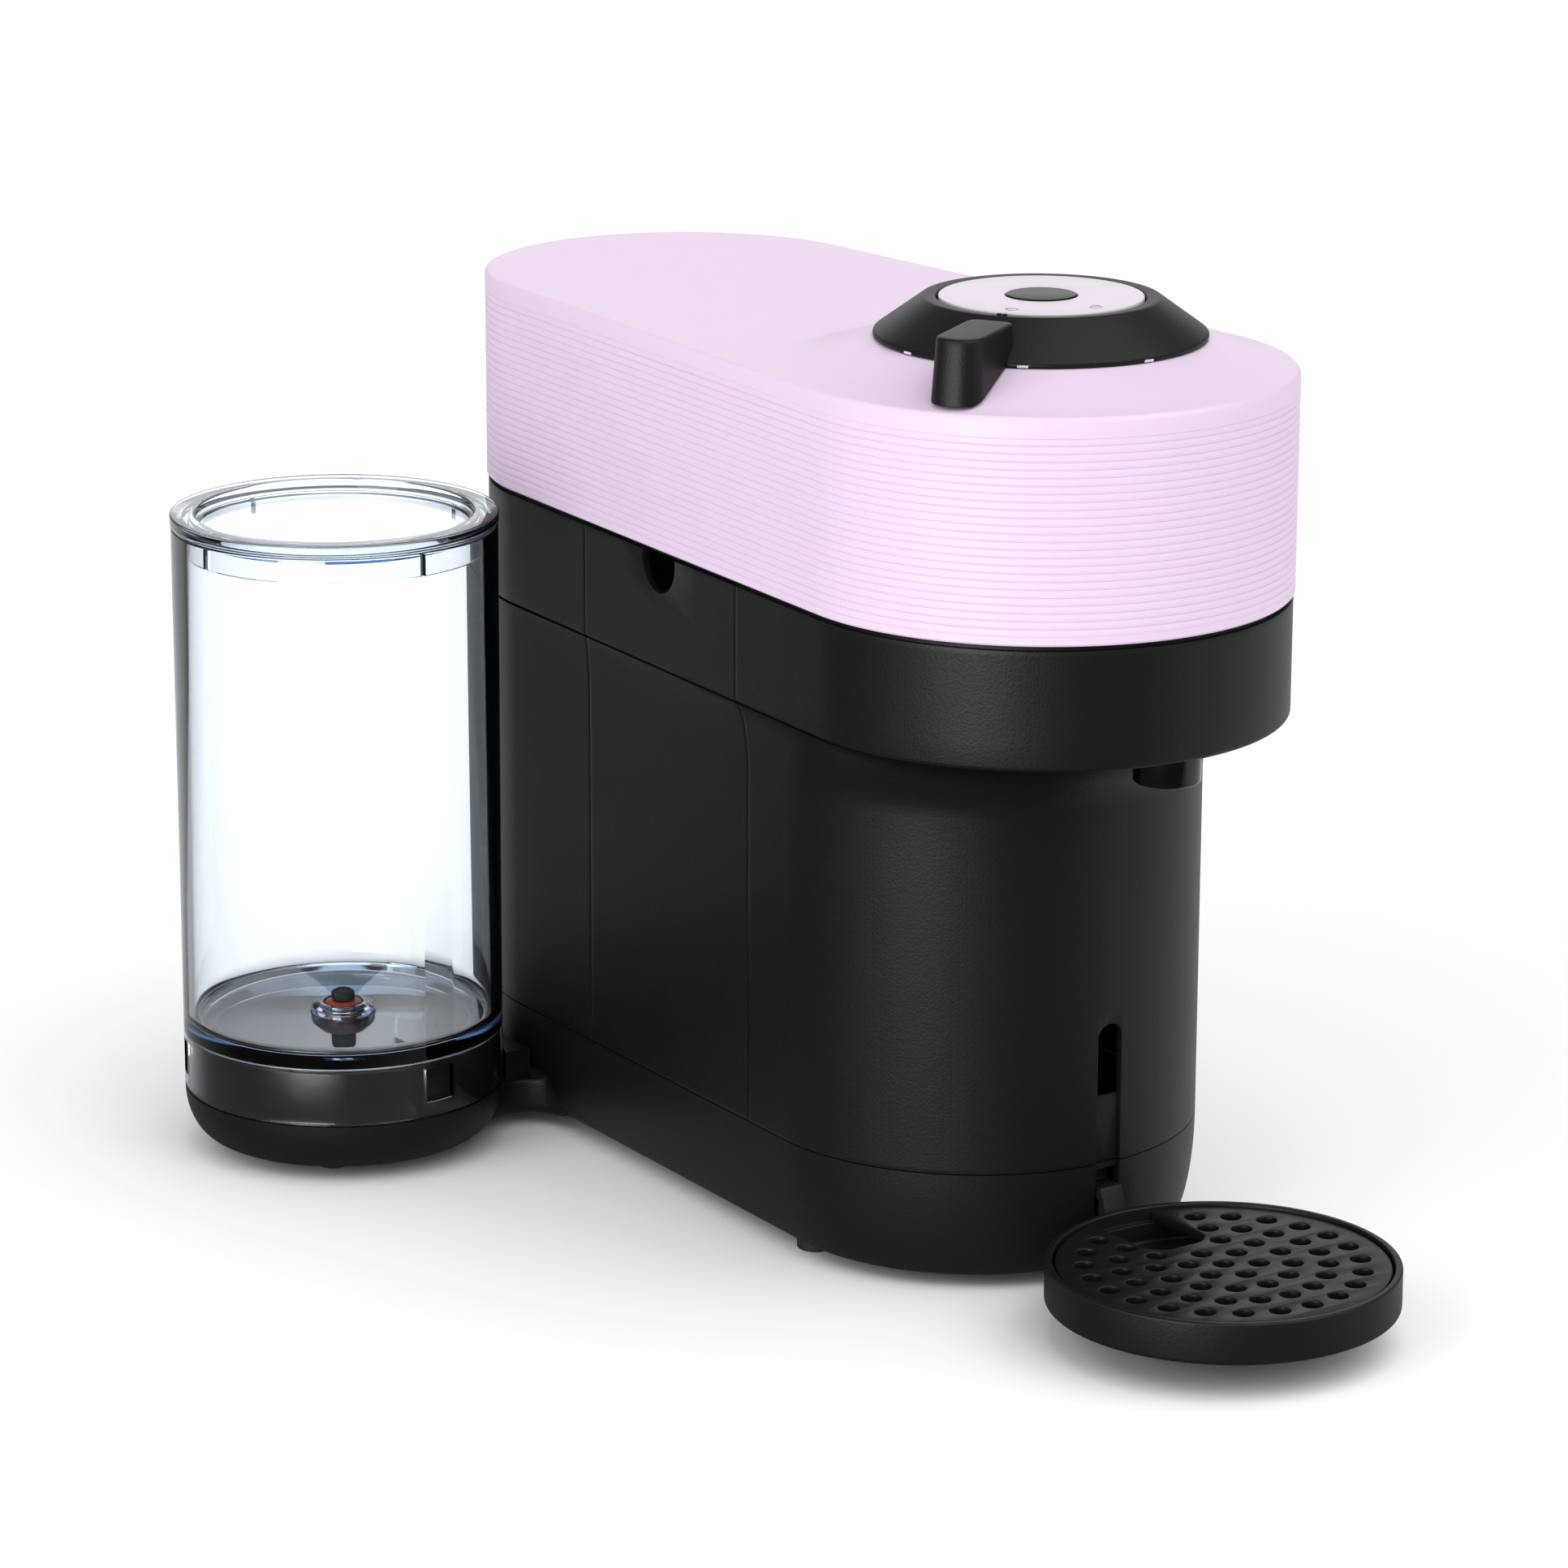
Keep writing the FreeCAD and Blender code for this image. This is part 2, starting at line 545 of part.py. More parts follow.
PIECES = (
    base_moulding, front_shell, rear_shell, top_cover, gap_trim, rubber_feet, case_screws,
    hinge_pin, hinge_knuckle, lid_carrier, lid_disc, brew_button, button_spring, bell_bearing,
    water_needle, clamp_bell, locking_ring, pointer_pip, lever, inner_deck, coffee_collector,
    outlet_duct, coffee_outlet, capsule_holder, rotor_shaft, motor_armature, drive_motor,
    rotor_bearings, front_bulkhead, rear_bulkhead, pump, pump_mounts, thermoblock, flow_meter,
    inlet_hose, pressure_hose, control_board, cord_gland, connector_cover, tank_pedestal,
    inlet_socket, water_tank, valve_ring, valve_seal, valve_plunger, tank_lid, container_panel,
    capsule_bin, drip_tray, tray_hook, drip_grid,
)

os.makedirs("parts", exist_ok=True)
for make in PIECES:
    shape = make()
    shape.translate(ORIGIN)
    shape.exportStep("parts/" + make.__name__ + ".step")
    print(make.__name__, len(shape.Solids), shape.isValid(), round(shape.Volume))
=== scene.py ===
# %% [markdown]
# # Dressing a pod coffee machine
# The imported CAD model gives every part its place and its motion. This lesson adds what the eye
# judges: soft mould radii, the ribbed lilac cover, clear tank walls, grained black plastic and
# studio light. Every new surface is worked out with numpy as a grid of points.

# %% Load the fixed frame
import json
import bpy
import bmesh
import numpy as np
from mathutils import Matrix, Vector


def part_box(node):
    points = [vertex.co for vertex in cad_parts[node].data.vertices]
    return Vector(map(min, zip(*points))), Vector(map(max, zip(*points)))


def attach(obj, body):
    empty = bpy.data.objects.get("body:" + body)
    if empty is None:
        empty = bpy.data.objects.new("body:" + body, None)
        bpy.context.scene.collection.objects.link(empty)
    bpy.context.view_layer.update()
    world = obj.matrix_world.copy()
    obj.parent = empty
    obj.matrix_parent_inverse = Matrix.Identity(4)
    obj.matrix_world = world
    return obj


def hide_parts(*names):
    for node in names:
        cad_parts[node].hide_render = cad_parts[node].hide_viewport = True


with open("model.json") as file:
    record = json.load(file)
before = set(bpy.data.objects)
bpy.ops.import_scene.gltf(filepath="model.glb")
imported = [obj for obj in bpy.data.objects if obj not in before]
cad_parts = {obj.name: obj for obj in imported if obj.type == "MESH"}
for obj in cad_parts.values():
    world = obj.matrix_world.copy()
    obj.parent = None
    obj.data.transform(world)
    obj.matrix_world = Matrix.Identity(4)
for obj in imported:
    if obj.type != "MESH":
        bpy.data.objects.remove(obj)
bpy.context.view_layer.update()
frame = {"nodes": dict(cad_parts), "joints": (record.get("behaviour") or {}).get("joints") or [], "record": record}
joints = {j["name"]: j for j in frame["joints"]}
nodes = frame["nodes"]

# %% [markdown]
# ## Where things are
# All sizes below are millimetres measured from the head's vertical axis on the worktop, with the
# front of the machine towards -Y. The axis comes from the locking ring's joint, and the outer
# sizes from the boxes of the CAD pieces, so the looks can't drift away from the design.

# %% Driving sizes, read from the frame
HEAD = np.array([joints["lock_turn"]["pos_m"][0], joints["lock_turn"]["pos_m"][1], 0.0]) * 1000.0


def span(node):
    """Lowest and highest corner of a CAD piece, in millimetres from the head's axis."""
    low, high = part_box(node)
    return np.array(low) * 1000.0 - HEAD, np.array(high) * 1000.0 - HEAD


cover_low, cover_high = span("top_cover")
HEAD_R = cover_high[0]
REAR_R = 54.8
REAR_Y = cover_high[1] - REAR_R
COVER_Z, MOUND_Z = cover_low[2], cover_high[2]
RIM_Z, MOUND_R, MOUND_FOOT_R, LID_HOLE_R = MOUND_Z - 7.6, 42.7, 65.0, 38.5
shell_low, shell_high = span("front_shell")
SHELL_Z, SHELL_TOP = shell_low[2], shell_high[2]
COLUMN_R, COLUMN_Y, FLARE_Z, HEAD_Z = 59.2, 25.2, 128.0, 147.7
BASE_Z = span("base_moulding")[0][2]
PANEL_Y0, PANEL_Y1 = 45.5, 125.7
THUMB_Y, THUMB_Z, THUMB_R = 85.6, 177.0, 8.6
COVER_PLAN = np.array([HEAD_R, 0.0, REAR_R, REAR_Y])
HEAD_PLAN = COVER_PLAN - [0.5, 0.0, 0.5, 0.0]
COLUMN_PLAN = np.array([COLUMN_R, COLUMN_Y, REAR_R - 0.5, REAR_Y])
tank_low, tank_high = span("tank_lid")
TANK_AT = ((tank_low + tank_high) / 2.0)[:2]
TANK_LID_R, TANK_LID_TOP = (tank_high[0] - tank_low[0]) / 2.0, tank_high[2]
tray_low, tray_high = span("drip_tray")
TRAY_R, TRAY_Y = (tray_high[0] - tray_low[0]) / 2.0, (tray_low[1] + tray_high[1]) / 2.0
print("tank centre", TANK_AT.round(1), "tray radius", round(float(TRAY_R), 1))

# %% [markdown]
# ## Grids of points
# A surface is a function of two parameters. Points are computed as whole arrays, joined into
# quads, and given to Blender in one call. Doubled points at seams and poles are merged, and
# closed shapes get their faces turned outwards.


# %% Grid, lathe and mesh helpers
def quads(rows, cols, wrap_rows=False, wrap_cols=True):
    """Corner numbers of the quads of a grid, with its last row or column joined to the first."""
    r = np.arange(rows if wrap_rows else rows - 1)
    c = np.arange(cols if wrap_cols else cols - 1)
    i, j = np.meshgrid(r, c, indexing="ij")
    i2, j2 = (i + 1) % rows, (j + 1) % cols
    return np.stack([i * cols + j, i * cols + j2, i2 * cols + j2, i2 * cols + j], -1).reshape(-1, 4)


def grid(points, wrap_rows=False, wrap_cols=True):
    """(points, faces) of a grid given as an array of rows x columns x 3."""
    rows, cols = points.shape[:2]
    return points.reshape(-1, 3), quads(rows, cols, wrap_rows, wrap_cols)


def join(*surfaces):
    """Several (points, faces) as one."""
    starts = np.cumsum([0] + [len(p) for p, f in surfaces])
    points = np.concatenate([p for p, f in surfaces])
    return points, np.concatenate([f + s for (p, f), s in zip(surfaces, starts)])


def rounded(corners, steps=4):
    """Closed outline with its corners rounded. corners are (a, b, radius). Each arc runs between
    the tangent points, turning evenly from one side's direction to the next."""
    c = np.array(corners, float)
    p, radius = c[:, :2], c[:, 2:3]
    to_prev, to_next = np.roll(p, 1, 0) - p, np.roll(p, -1, 0) - p
    len_prev = np.linalg.norm(to_prev, axis=1, keepdims=True)
    len_next = np.linalg.norm(to_next, axis=1, keepdims=True)
    to_prev, to_next = to_prev / len_prev, to_next / len_next
    cosine = np.clip((to_prev * to_next).sum(1, keepdims=True), -0.9999, 0.9999)
    half = np.arccos(cosine) / 2.0
    reach = np.minimum(radius / np.tan(half), 0.49 * np.minimum(len_prev, len_next))
    radius = reach * np.tan(half)
    middle = p + (to_prev + to_next) / (2.0 * np.cos(half)) * (radius / np.sin(half))
    start, end = p + to_prev * reach - middle, p + to_next * reach - middle
    turn = np.pi - 2.0 * half
    t = np.linspace(0.0, 1.0, steps + 1)[None, :, None]
    a, b = start[:, None, :], end[:, None, :]
    w = turn[:, None, :]
    arc = (np.sin((1 - t) * w) * a + np.sin(t * w) * b) / np.sin(w)
    return (middle[:, None, :] + arc).reshape(-1, 2)


def circle(r, x=0.0, y=0.0, count=28):
    """Round outline of evenly spaced points."""
    a = np.linspace(0.0, 2.0 * np.pi, count, endpoint=False)
    return np.column_stack([x + r * np.cos(a), y + r * np.sin(a)])


def lathe(profile, x=0.0, y=0.0, sides=128):
    """Closed (radius, z) outline turned about the vertical line through (x, y)."""
    turn = np.linspace(0.0, 2.0 * np.pi, sides, endpoint=False)[None, :]
    r, z = profile[:, 0:1], profile[:, 1:2]
    points = np.stack([x + r * np.cos(turn), y + r * np.sin(turn), z + 0 * turn], -1)
    return grid(points, wrap_rows=True)


def turned(corners, x=0.0, y=0.0, sides=128, steps=4):
    """Turned solid from the corners (radius, z, rounding) of half its section."""
    return lathe(rounded(corners, steps), x, y, sides)


def prism(outline, low, high, plane="xy"):
    """Closed outline carried straight from one level to another, with both ends filled as fans.
    The plane names the outline's own axes; the third axis is the one it is carried along."""
    n = len(outline)
    middle = outline.mean(0)
    rings = [(middle + (outline - middle) * s, level)
             for s, level in ((0.0, low), (1.0, low), (1.0, high), (0.0, high))]
    a = np.stack([np.column_stack([o, np.full(n, level)]) for o, level in rings])
    order = {"xy": [0, 1, 2], "yz": [2, 0, 1], "xz": [0, 2, 1]}[plane]
    return grid(a[..., order])


def turn_about(surface, degrees, x=0.0, y=0.0):
    """The surface turned about a vertical line."""
    points, faces = surface
    a = np.radians(degrees)
    spin = np.array([[np.cos(a), -np.sin(a), 0], [np.sin(a), np.cos(a), 0], [0, 0, 1]])
    centre = np.array([x, y, 0.0])
    return (points - centre) @ spin.T + centre, faces


def moved(surface, x, y):
    """The surface moved sideways."""
    points, faces = surface
    return points + [x, y, 0.0], faces


def new_object(name, surface, merge=0.002, outwards=True):
    """A mesh object from points in millimetres, moved into the frame, in metres. Points closer
    than merge millimetres become one."""
    points, faces = surface
    mesh = bpy.data.meshes.new(name)
    mesh.from_pydata(((points + HEAD) / 1000.0).tolist(), [], faces.tolist())
    work = bmesh.new()
    work.from_mesh(mesh)
    bmesh.ops.remove_doubles(work, verts=work.verts, dist=merge / 1000.0)
    if outwards:
        bmesh.ops.recalc_face_normals(work, faces=work.faces)
    work.to_mesh(mesh)
    work.free()
    ob = bpy.data.objects.new(name, mesh)
    bpy.context.scene.collection.objects.link(ob)
    return ob


def with_modifier(ob, kind, **settings):
    """Add one modifier and make its result the object's mesh."""
    m = ob.modifiers.new(kind.title(), kind)
    for key, value in settings.items():
        setattr(m, key, value)
    ready = bpy.context.evaluated_depsgraph_get()
    ready.update()
    mesh = bpy.data.meshes.new_from_object(ob.evaluated_get(ready))
    ob.modifiers.clear()
    old, ob.data = ob.data, mesh
    mesh.name = ob.name
    bpy.data.meshes.remove(old)
    return ob


def cut(ob, *surfaces):
    """Cut closed surfaces out of an object."""
    for surface in surfaces:
        knife = new_object("knife", surface)
        with_modifier(ob, "BOOLEAN", operation="DIFFERENCE", object=knife, solver="EXACT")
        bpy.data.objects.remove(knife)
    return ob


def fuse(ob, *surfaces):
    """Join closed surfaces to an object as one skin."""
    for surface in surfaces:
        other = new_object("other", surface)
        with_modifier(ob, "BOOLEAN", operation="UNION", object=other, solver="EXACT")
        bpy.data.objects.remove(other)
    return ob


def soften(ob, width, angle=40.0, segments=2):
    """Round the sharp edges by a small bevel."""
    return with_modifier(ob, "BEVEL", width=width / 1000.0, segments=segments,
                         limit_method="ANGLE", angle_limit=np.radians(angle),
                         use_clamp_overlap=True)


def finish_piece(ob, body, slot, material, *replaced, crease=32.0):
    """Shade smooth between creases, take a material, ride on a body and hide the CAD piece."""
    mesh = ob.data
    mesh.materials.clear()
    mesh.materials.append(material)
    mesh.shade_smooth()
    mesh.set_sharp_from_angle(angle=np.radians(crease))
    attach(ob, body)
    if replaced:
        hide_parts(*replaced)
    print(ob.name, len(mesh.polygons), "faces")
    return ob


# %% [markdown]
# ## Materials
# Each finish starts from the plastic or metal it is on the real machine. Colours are sRGB hex
# values turned to linear by one function, and grain sizes are given in millimetres.


# %% Colour and node helpers
def linear(code):
    """sRGB hex to linear RGBA."""
    c = np.array([int(code[i:i + 2], 16) for i in (1, 3, 5)]) / 255.0
    c = np.where(c <= 0.04045, c / 12.92, ((c + 0.055) / 1.055) ** 2.4)
    return (*c.tolist(), 1.0)


def add(tree, kind, settings=None, **inputs):
    """Add a node, set its properties and its sockets. A socket given as another node's output is
    linked, any other value is set as its default."""
    node = tree.nodes.new(kind)
    for key, value in (settings or {}).items():
        setattr(node, key, value)
    for key, value in inputs.items():
        socket = node.inputs[int(key[1:])] if key[0] == "i" and key[1:].isdigit() \
            else node.inputs[key.replace("_", " ")]
        if isinstance(value, bpy.types.NodeSocket):
            tree.links.new(value, socket)
        else:
            socket.default_value = value
    return node


def grain(tree, size_mm, detail=2.0):
    """Noise on Object coordinates whose lumps are size_mm across."""
    place = add(tree, "ShaderNodeTexCoord")
    return add(tree, "ShaderNodeTexNoise", Vector=place.outputs["Object"],
               Scale=1000.0 / size_mm, Detail=detail)


def finish(name, colour, grain_mm=0.8, bump=0.0, rough=0.4, rough_spread=0.05, shade="",
           patch_mm=60.0, **sockets):
    """A surface with its own grain: fine noise for bump, wider patches for roughness and a
    slight change of colour."""
    material = bpy.data.materials.new(name)
    material.use_nodes = True
    tree = material.node_tree
    shader = tree.nodes["Principled BSDF"]
    for key, value in sockets.items():
        shader.inputs[key.replace("_", " ")].default_value = value
    patches = grain(tree, patch_mm, 3.0)
    mix = add(tree, "ShaderNodeMix", {"data_type": "RGBA"}, Factor=patches.outputs["Fac"])
    mix.inputs[6].default_value = linear(colour)
    mix.inputs[7].default_value = linear(shade or colour)
    tree.links.new(mix.outputs[2], shader.inputs["Base Color"])
    spread = add(tree, "ShaderNodeMapRange", Value=patches.outputs["Fac"])
    spread.inputs["To Min"].default_value = rough - rough_spread
    spread.inputs["To Max"].default_value = rough + rough_spread
    tree.links.new(spread.outputs["Result"], shader.inputs["Roughness"])
    if bump:
        fine = grain(tree, grain_mm)
        lift = add(tree, "ShaderNodeBump", Height=fine.outputs["Fac"], Strength=bump,
                   Distance=0.0002)
        tree.links.new(lift.outputs["Normal"], shader.inputs["Normal"])
    material.diffuse_color = linear(colour)
    return material


# %% The finishes
# Spark-eroded black ABS: a fine even grain that breaks up highlights.
BLACK = finish("black ABS, spark-eroded mould grain", "#101010", 0.7, 0.3, 0.43, 0.03,
               "#131313", Specular_IOR_Level=0.24)
# The drum under the tank is the same ABS from a smoother mould.
SATIN = finish("black ABS, satin mould", "#111112", 0.6, 0.03, 0.3, 0.03, "#141415",
               Specular_IOR_Level=0.4)
# Black polycarbonate of the brew button, a fine matt etch that kills the sheen.
ETCHED = finish("etched black polycarbonate", "#050506", 0.5, 0.02, 0.3, 0.02, "#070708",
                Specular_IOR_Level=0.08)
# Polished black ABS of the outlet.
GLOSS = finish("polished black ABS", "#060607", 2.0, 0.02, 0.08, 0.02, "#09090a")
# Satin lilac ABS: coloured through, so it is a little bright from inside.
LILAC = finish("lilac ABS, satin moulded", "#dcc6df", 0.8, 0.04, 0.42, 0.03, "#dec9e0",
               Subsurface_Weight=0.05, Subsurface_Scale=0.002, Specular_IOR_Level=0.3)
LILAC_DISC = finish("lilac ABS disc, fine satin", "#d6cad8", 0.6, 0.04, 0.36, 0.03, "#d8ceda",
                    Specular_IOR_Level=0.3)
# Injection-moulded clear copolyester of the tank and its lid.
CLEAR = finish("clear copolyester, polished mould", "#fdfeff", 40.0, 0.0, 0.012, 0.008, "#ffffff",
               Transmission_Weight=1.0, IOR=1.52)
# Clear plastic is faintly blue through its depth: nothing across a wall, dark along an edge.
depth = add(CLEAR.node_tree, "ShaderNodeVolumeAbsorption", Color=linear("#9cc4e6"), Density=50.0)
CLEAR.node_tree.links.new(depth.outputs["Volume"],
                          CLEAR.node_tree.nodes["Material Output"].inputs["Volume"])
RED = finish("red silicone seal", "#a8331f", 0.8, 0.05, 0.42, 0.05, "#93291a")
RUBBER = finish("black moulded rubber", "#171717", 0.7, 0.3, 0.65, 0.05, "#1d1d1d")
STEEL = finish("turned steel", "#a9abad", 0.5, 0.1, 0.28, 0.05, "#9c9ea0", Metallic=1.0)
ALUMINIUM = finish("die-cast aluminium", "#b4b6b8", 1.2, 0.4, 0.42, 0.06, "#a8aaac",
                   Metallic=1.0)
GREY = finish("grey glass-filled nylon", "#6a6c6f", 1.0, 0.2, 0.48, 0.05, "#5f6164")
GREEN = finish("green solder mask on glass epoxy", "#1f5a34", 1.0, 0.1, 0.3, 0.05, "#1a4f2d")
HOSE = finish("translucent silicone hose", "#d9d8d2", 1.0, 0.1, 0.4, 0.05, "#cfcdc6",
              Transmission_Weight=0.3)
PRINT = finish("grey tampo print", "#8d8590", 0.5, 0.0, 0.5, 0.02, "#958d98")

SLOT_FINISH = {"black_plastic": BLACK, "lilac_plastic": LILAC, "gloss_black": GLOSS,
               "clear_plastic": CLEAR, "rubber": RUBBER, "red_silicone": RED, "steel": STEEL,
               "aluminium": ALUMINIUM, "grey_plastic": GREY, "circuit_board": GREEN,
               "silicone_hose": HOSE}
for entry in frame["record"]["subparts"]:
    mesh = nodes[entry["node"]].data
    mesh.materials.clear()
    mesh.materials.append(SLOT_FINISH[entry["material_slot"]])
print("finishes", len(SLOT_FINISH))

# %% [markdown]
# ## Camera and studio
# The camera stands to the front left, a little above the machine, far away with a long lens, so
# the verticals stay nearly parallel. A wide soft sky lights from above, two soft boxes stand at
# the left, a low lamp draws a sheen down the rounded front, and another behind the machine lights
# the edges of the level tops. The floor is pale. On its left and front its colour is painted
# dark where it is seen in a reflection, which gives a painted dark reflection in the glossy parts.

# %% Camera
CAMERA = np.array([-888.05, -1172.04, 536.84])
CAMERA_TURN, CAMERA_DOWN, CAMERA_ROLL, CAMERA_LENS = -34.6305, 15.6024, 0.1678, 135.437
yaw, dip, roll = np.radians([CAMERA_TURN, CAMERA_DOWN, CAMERA_ROLL])
back = np.array([np.sin(yaw) * np.cos(dip), -np.cos(yaw) * np.cos(dip), np.sin(dip)])
level = np.array([np.cos(yaw), np.sin(yaw), 0.0])
upward = np.cross(back, level)
right = np.cos(roll) * level + np.sin(roll) * upward
upward = -np.sin(roll) * level + np.cos(roll) * upward
camera = bpy.data.objects.new("camera", bpy.data.cameras.new("camera"))
camera.data.lens, camera.data.sensor_width = CAMERA_LENS, 36.0
camera.data.clip_end = 200.0
aimed = Matrix(np.column_stack([right, upward, back]).tolist()).to_4x4()
camera.matrix_world = Matrix.Translation(((CAMERA + HEAD) / 1000.0).tolist()) @ aimed
bpy.context.scene.collection.objects.link(camera)
bpy.context.scene.camera = camera
print("camera", camera.location.to_tuple(3), "lens", CAMERA_LENS)

# %% Floor
FLOOR_HALF = 60.0
floor_mesh = bpy.data.meshes.new("floor")
floor_mesh.from_pydata([(-FLOOR_HALF, -FLOOR_HALF, 0), (FLOOR_HALF, -FLOOR_HALF, 0),
                        (FLOOR_HALF, FLOOR_HALF, 0), (-FLOOR_HALF, FLOOR_HALF, 0)],
                       [], [(0, 1, 2, 3)])
floor = bpy.data.objects.new("floor", floor_mesh)
bpy.context.scene.collection.objects.link(floor)
paper = finish("pale matte studio paper", "#fafafa", 3.0, 0.0, 0.9, 0.02, "#fcfcfc",
               Specular_IOR_Level=0.1)
# Painted reflection: on the machine's left and front the floor's colour turns dark for rays that
# have been mirrored, so the glossy parts reflect painted shade there, as if a dark card stood out
# of sight, while a direct sight line still meets white paper. The painted dark part starts at a
# line through the frame's origin and fades in over the given fade, in metres, to either side of it.
PAINTED_REFLECTION_WAY, PAINTED_REFLECTION_FADE, PAINTED_REFLECTION_COLOUR = (-0.906, -0.423, 0.0), 0.1, "#484849"
tree = paper.node_tree
ray = add(tree, "ShaderNodeLightPath")
spot = add(tree, "ShaderNodeNewGeometry").outputs["Position"]
leftward = add(tree, "ShaderNodeVectorMath", {"operation": "DOT_PRODUCT"}, i0=spot, i1=PAINTED_REFLECTION_WAY)
left_side = add(tree, "ShaderNodeMapRange", Value=leftward.outputs["Value"],
                From_Min=-PAINTED_REFLECTION_FADE, From_Max=PAINTED_REFLECTION_FADE)
mirrored = add(tree, "ShaderNodeMath", {"operation": "MULTIPLY", "use_clamp": True},
               i0=left_side.outputs["Result"], i1=ray.outputs["Glossy Depth"])
# Painted dark reflection: the paper's colour is mixed towards dark grey on the left and front for mirrored rays.
painted_reflection = add(tree, "ShaderNodeMix", {"data_type": "RGBA"}, Factor=mirrored.outputs["Value"])
tree.links.new(tree.nodes["Principled BSDF"].inputs["Base Color"].links[0].from_socket,
               painted_reflection.inputs[6])
painted_reflection.inputs[7].default_value = linear(PAINTED_REFLECTION_COLOUR)
tree.links.new(painted_reflection.outputs[2], tree.nodes["Principled BSDF"].inputs["Base Color"])
floor_mesh.materials.append(paper)
print("floor", 2 * FLOOR_HALF, "m across")

# %% World
# How bright the room looks: to matt surfaces, in a mirrored line, and straight through clear walls.
ROOM_LEVEL, MIRRORED_LEVEL, THROUGH_LEVEL = 0.48, 0.24, 1.0
world = bpy.data.worlds.new("studio")
bpy.context.scene.world = world
world.use_nodes = True
world.node_tree.nodes["Background"].inputs["Color"].default_value = linear("#ffffff")
# Clear plastic seen directly bends the sight line to the white paper all round, so it sees a
# brighter world; a reflection meets the dark cards of the studio, and one reflection is enough
# to outweigh every wall passed through.
sight = add(world.node_tree, "ShaderNodeLightPath")
room = add(world.node_tree, "ShaderNodeMapRange", To_Min=ROOM_LEVEL, To_Max=MIRRORED_LEVEL,
           Value=sight.outputs["Glossy Depth"])
direct = add(world.node_tree, "ShaderNodeMath", {"operation": "MULTIPLY_ADD", "use_clamp": True},
             i0=sight.outputs["Glossy Depth"], i1=-9.0, i2=sight.outputs["Transmission Depth"])
sky_level = add(world.node_tree, "ShaderNodeMapRange", To_Min=room.outputs["Result"],
                To_Max=THROUGH_LEVEL, Value=direct.outputs["Value"])
world.node_tree.links.new(sky_level.outputs["Result"],
                          world.node_tree.nodes["Background"].inputs["Strength"])
bpy.context.scene.view_settings.view_transform = "Standard"
print("room", ROOM_LEVEL, "mirrored", MIRRORED_LEVEL)


# %% Sky and lamps
def lamp(name, place, aim, width, height, power):
    """Rectangular soft light at a place in metres, facing a point."""
    data = bpy.data.lights.new(name, "AREA")
    data.shape, data.size, data.size_y, data.energy = "RECTANGLE", width, height, power
    ob = bpy.data.objects.new(name, data)
    look = (Vector(aim) - Vector(place)).to_track_quat("-Z", "Y")
    ob.matrix_world = Matrix.Translation(place) @ look.to_matrix().to_4x4()
    bpy.context.scene.collection.objects.link(ob)
    return ob


sky = bpy.data.lights.new("ceiling", "SUN")
sky.energy, sky.angle = 2.0, np.radians(80.0)
ceiling = bpy.data.objects.new("ceiling", sky)
downward = Vector((-0.22, 0.5, -0.84)).to_track_quat("-Z", "Y")
ceiling.matrix_world = Matrix.Translation((0, 0, 2)) @ downward.to_matrix().to_4x4()
bpy.context.scene.collection.objects.link(ceiling)
lamp("front left soft box", (-0.95, -0.33, 0.26), (0.03, -0.03, 0.12), 0.8, 0.5, 3.0)
lamp("left soft box", (-1.5, -0.25, 1.3), (0.0, 0.0, 0.15), 1.2, 1.2, 8.0)
# A sheen down the rounded front only, with no part in the diffuse light.
sheen = lamp("front sheen", (-1.02, -0.6, 0.14), (0.03, -0.03, 0.12), 0.7, 0.28, 6.5)
sheen.visible_diffuse = False
lamp("backdrop glow", (1.6, 2.3, 0.9), (0.0, 0.0, 0.2), 2.4, 0.9, 8.5)
print("lights", len(bpy.data.lights))

# %% [markdown]
# ## The outline round two circles
# Cover, head, column and base all share one plan: two circles on the centre line with tangent
# sides. The sides are cut at fixed places, so the seams between the mouldings fall on the grid.

# %% Plan outline
SEAM_HALF, SEAM_GUARD = 0.2, 1.4
SEAM_COLUMNS = np.array([-SEAM_GUARD, -SEAM_HALF, SEAM_HALF, SEAM_GUARD])
SIDE_Y = np.concatenate([[30.0], PANEL_Y0 + SEAM_COLUMNS, [65.0, THUMB_Y, 105.0],
                         PANEL_Y1 + SEAM_COLUMNS, [150.0]])
ARC_FRONT, ARC_REAR = 97, 65
N_SIDE = len(SIDE_Y)
N_PLAN = ARC_FRONT + ARC_REAR + 2 * N_SIDE


def around(plan, inset=0.0):
    """Points of the outline: front arc from left to right, right side, rear arc, left side.
    Each arc turns evenly between the tangent points; a side's x falls evenly with y."""
    rf, yf, rr, yr = plan[0] - inset, plan[1], plan[2] - inset, plan[3]
    lean = np.arcsin((rf - rr) / (yr - yf))
    front = np.linspace(np.pi - lean, 2.0 * np.pi + lean, ARC_FRONT)
    rear = np.linspace(lean, np.pi - lean, ARC_REAR)
    x_side = (rf - (SIDE_Y - yf) * np.sin(lean)) / np.cos(lean)
    return np.concatenate([
        np.column_stack([rf * np.cos(front), yf + rf * np.sin(front)]),
        np.column_stack([x_side, SIDE_Y]),
        np.column_stack([rr * np.cos(rear), yr + rr * np.sin(rear)]),
        np.column_stack([-x_side, SIDE_Y])[::-1]])


def ring_row(plan, inset, z):
    """One level of a wall: the outline at height z."""
    return np.column_stack([around(plan, inset), np.full(N_PLAN, z)])


print("points round the plan", N_PLAN)

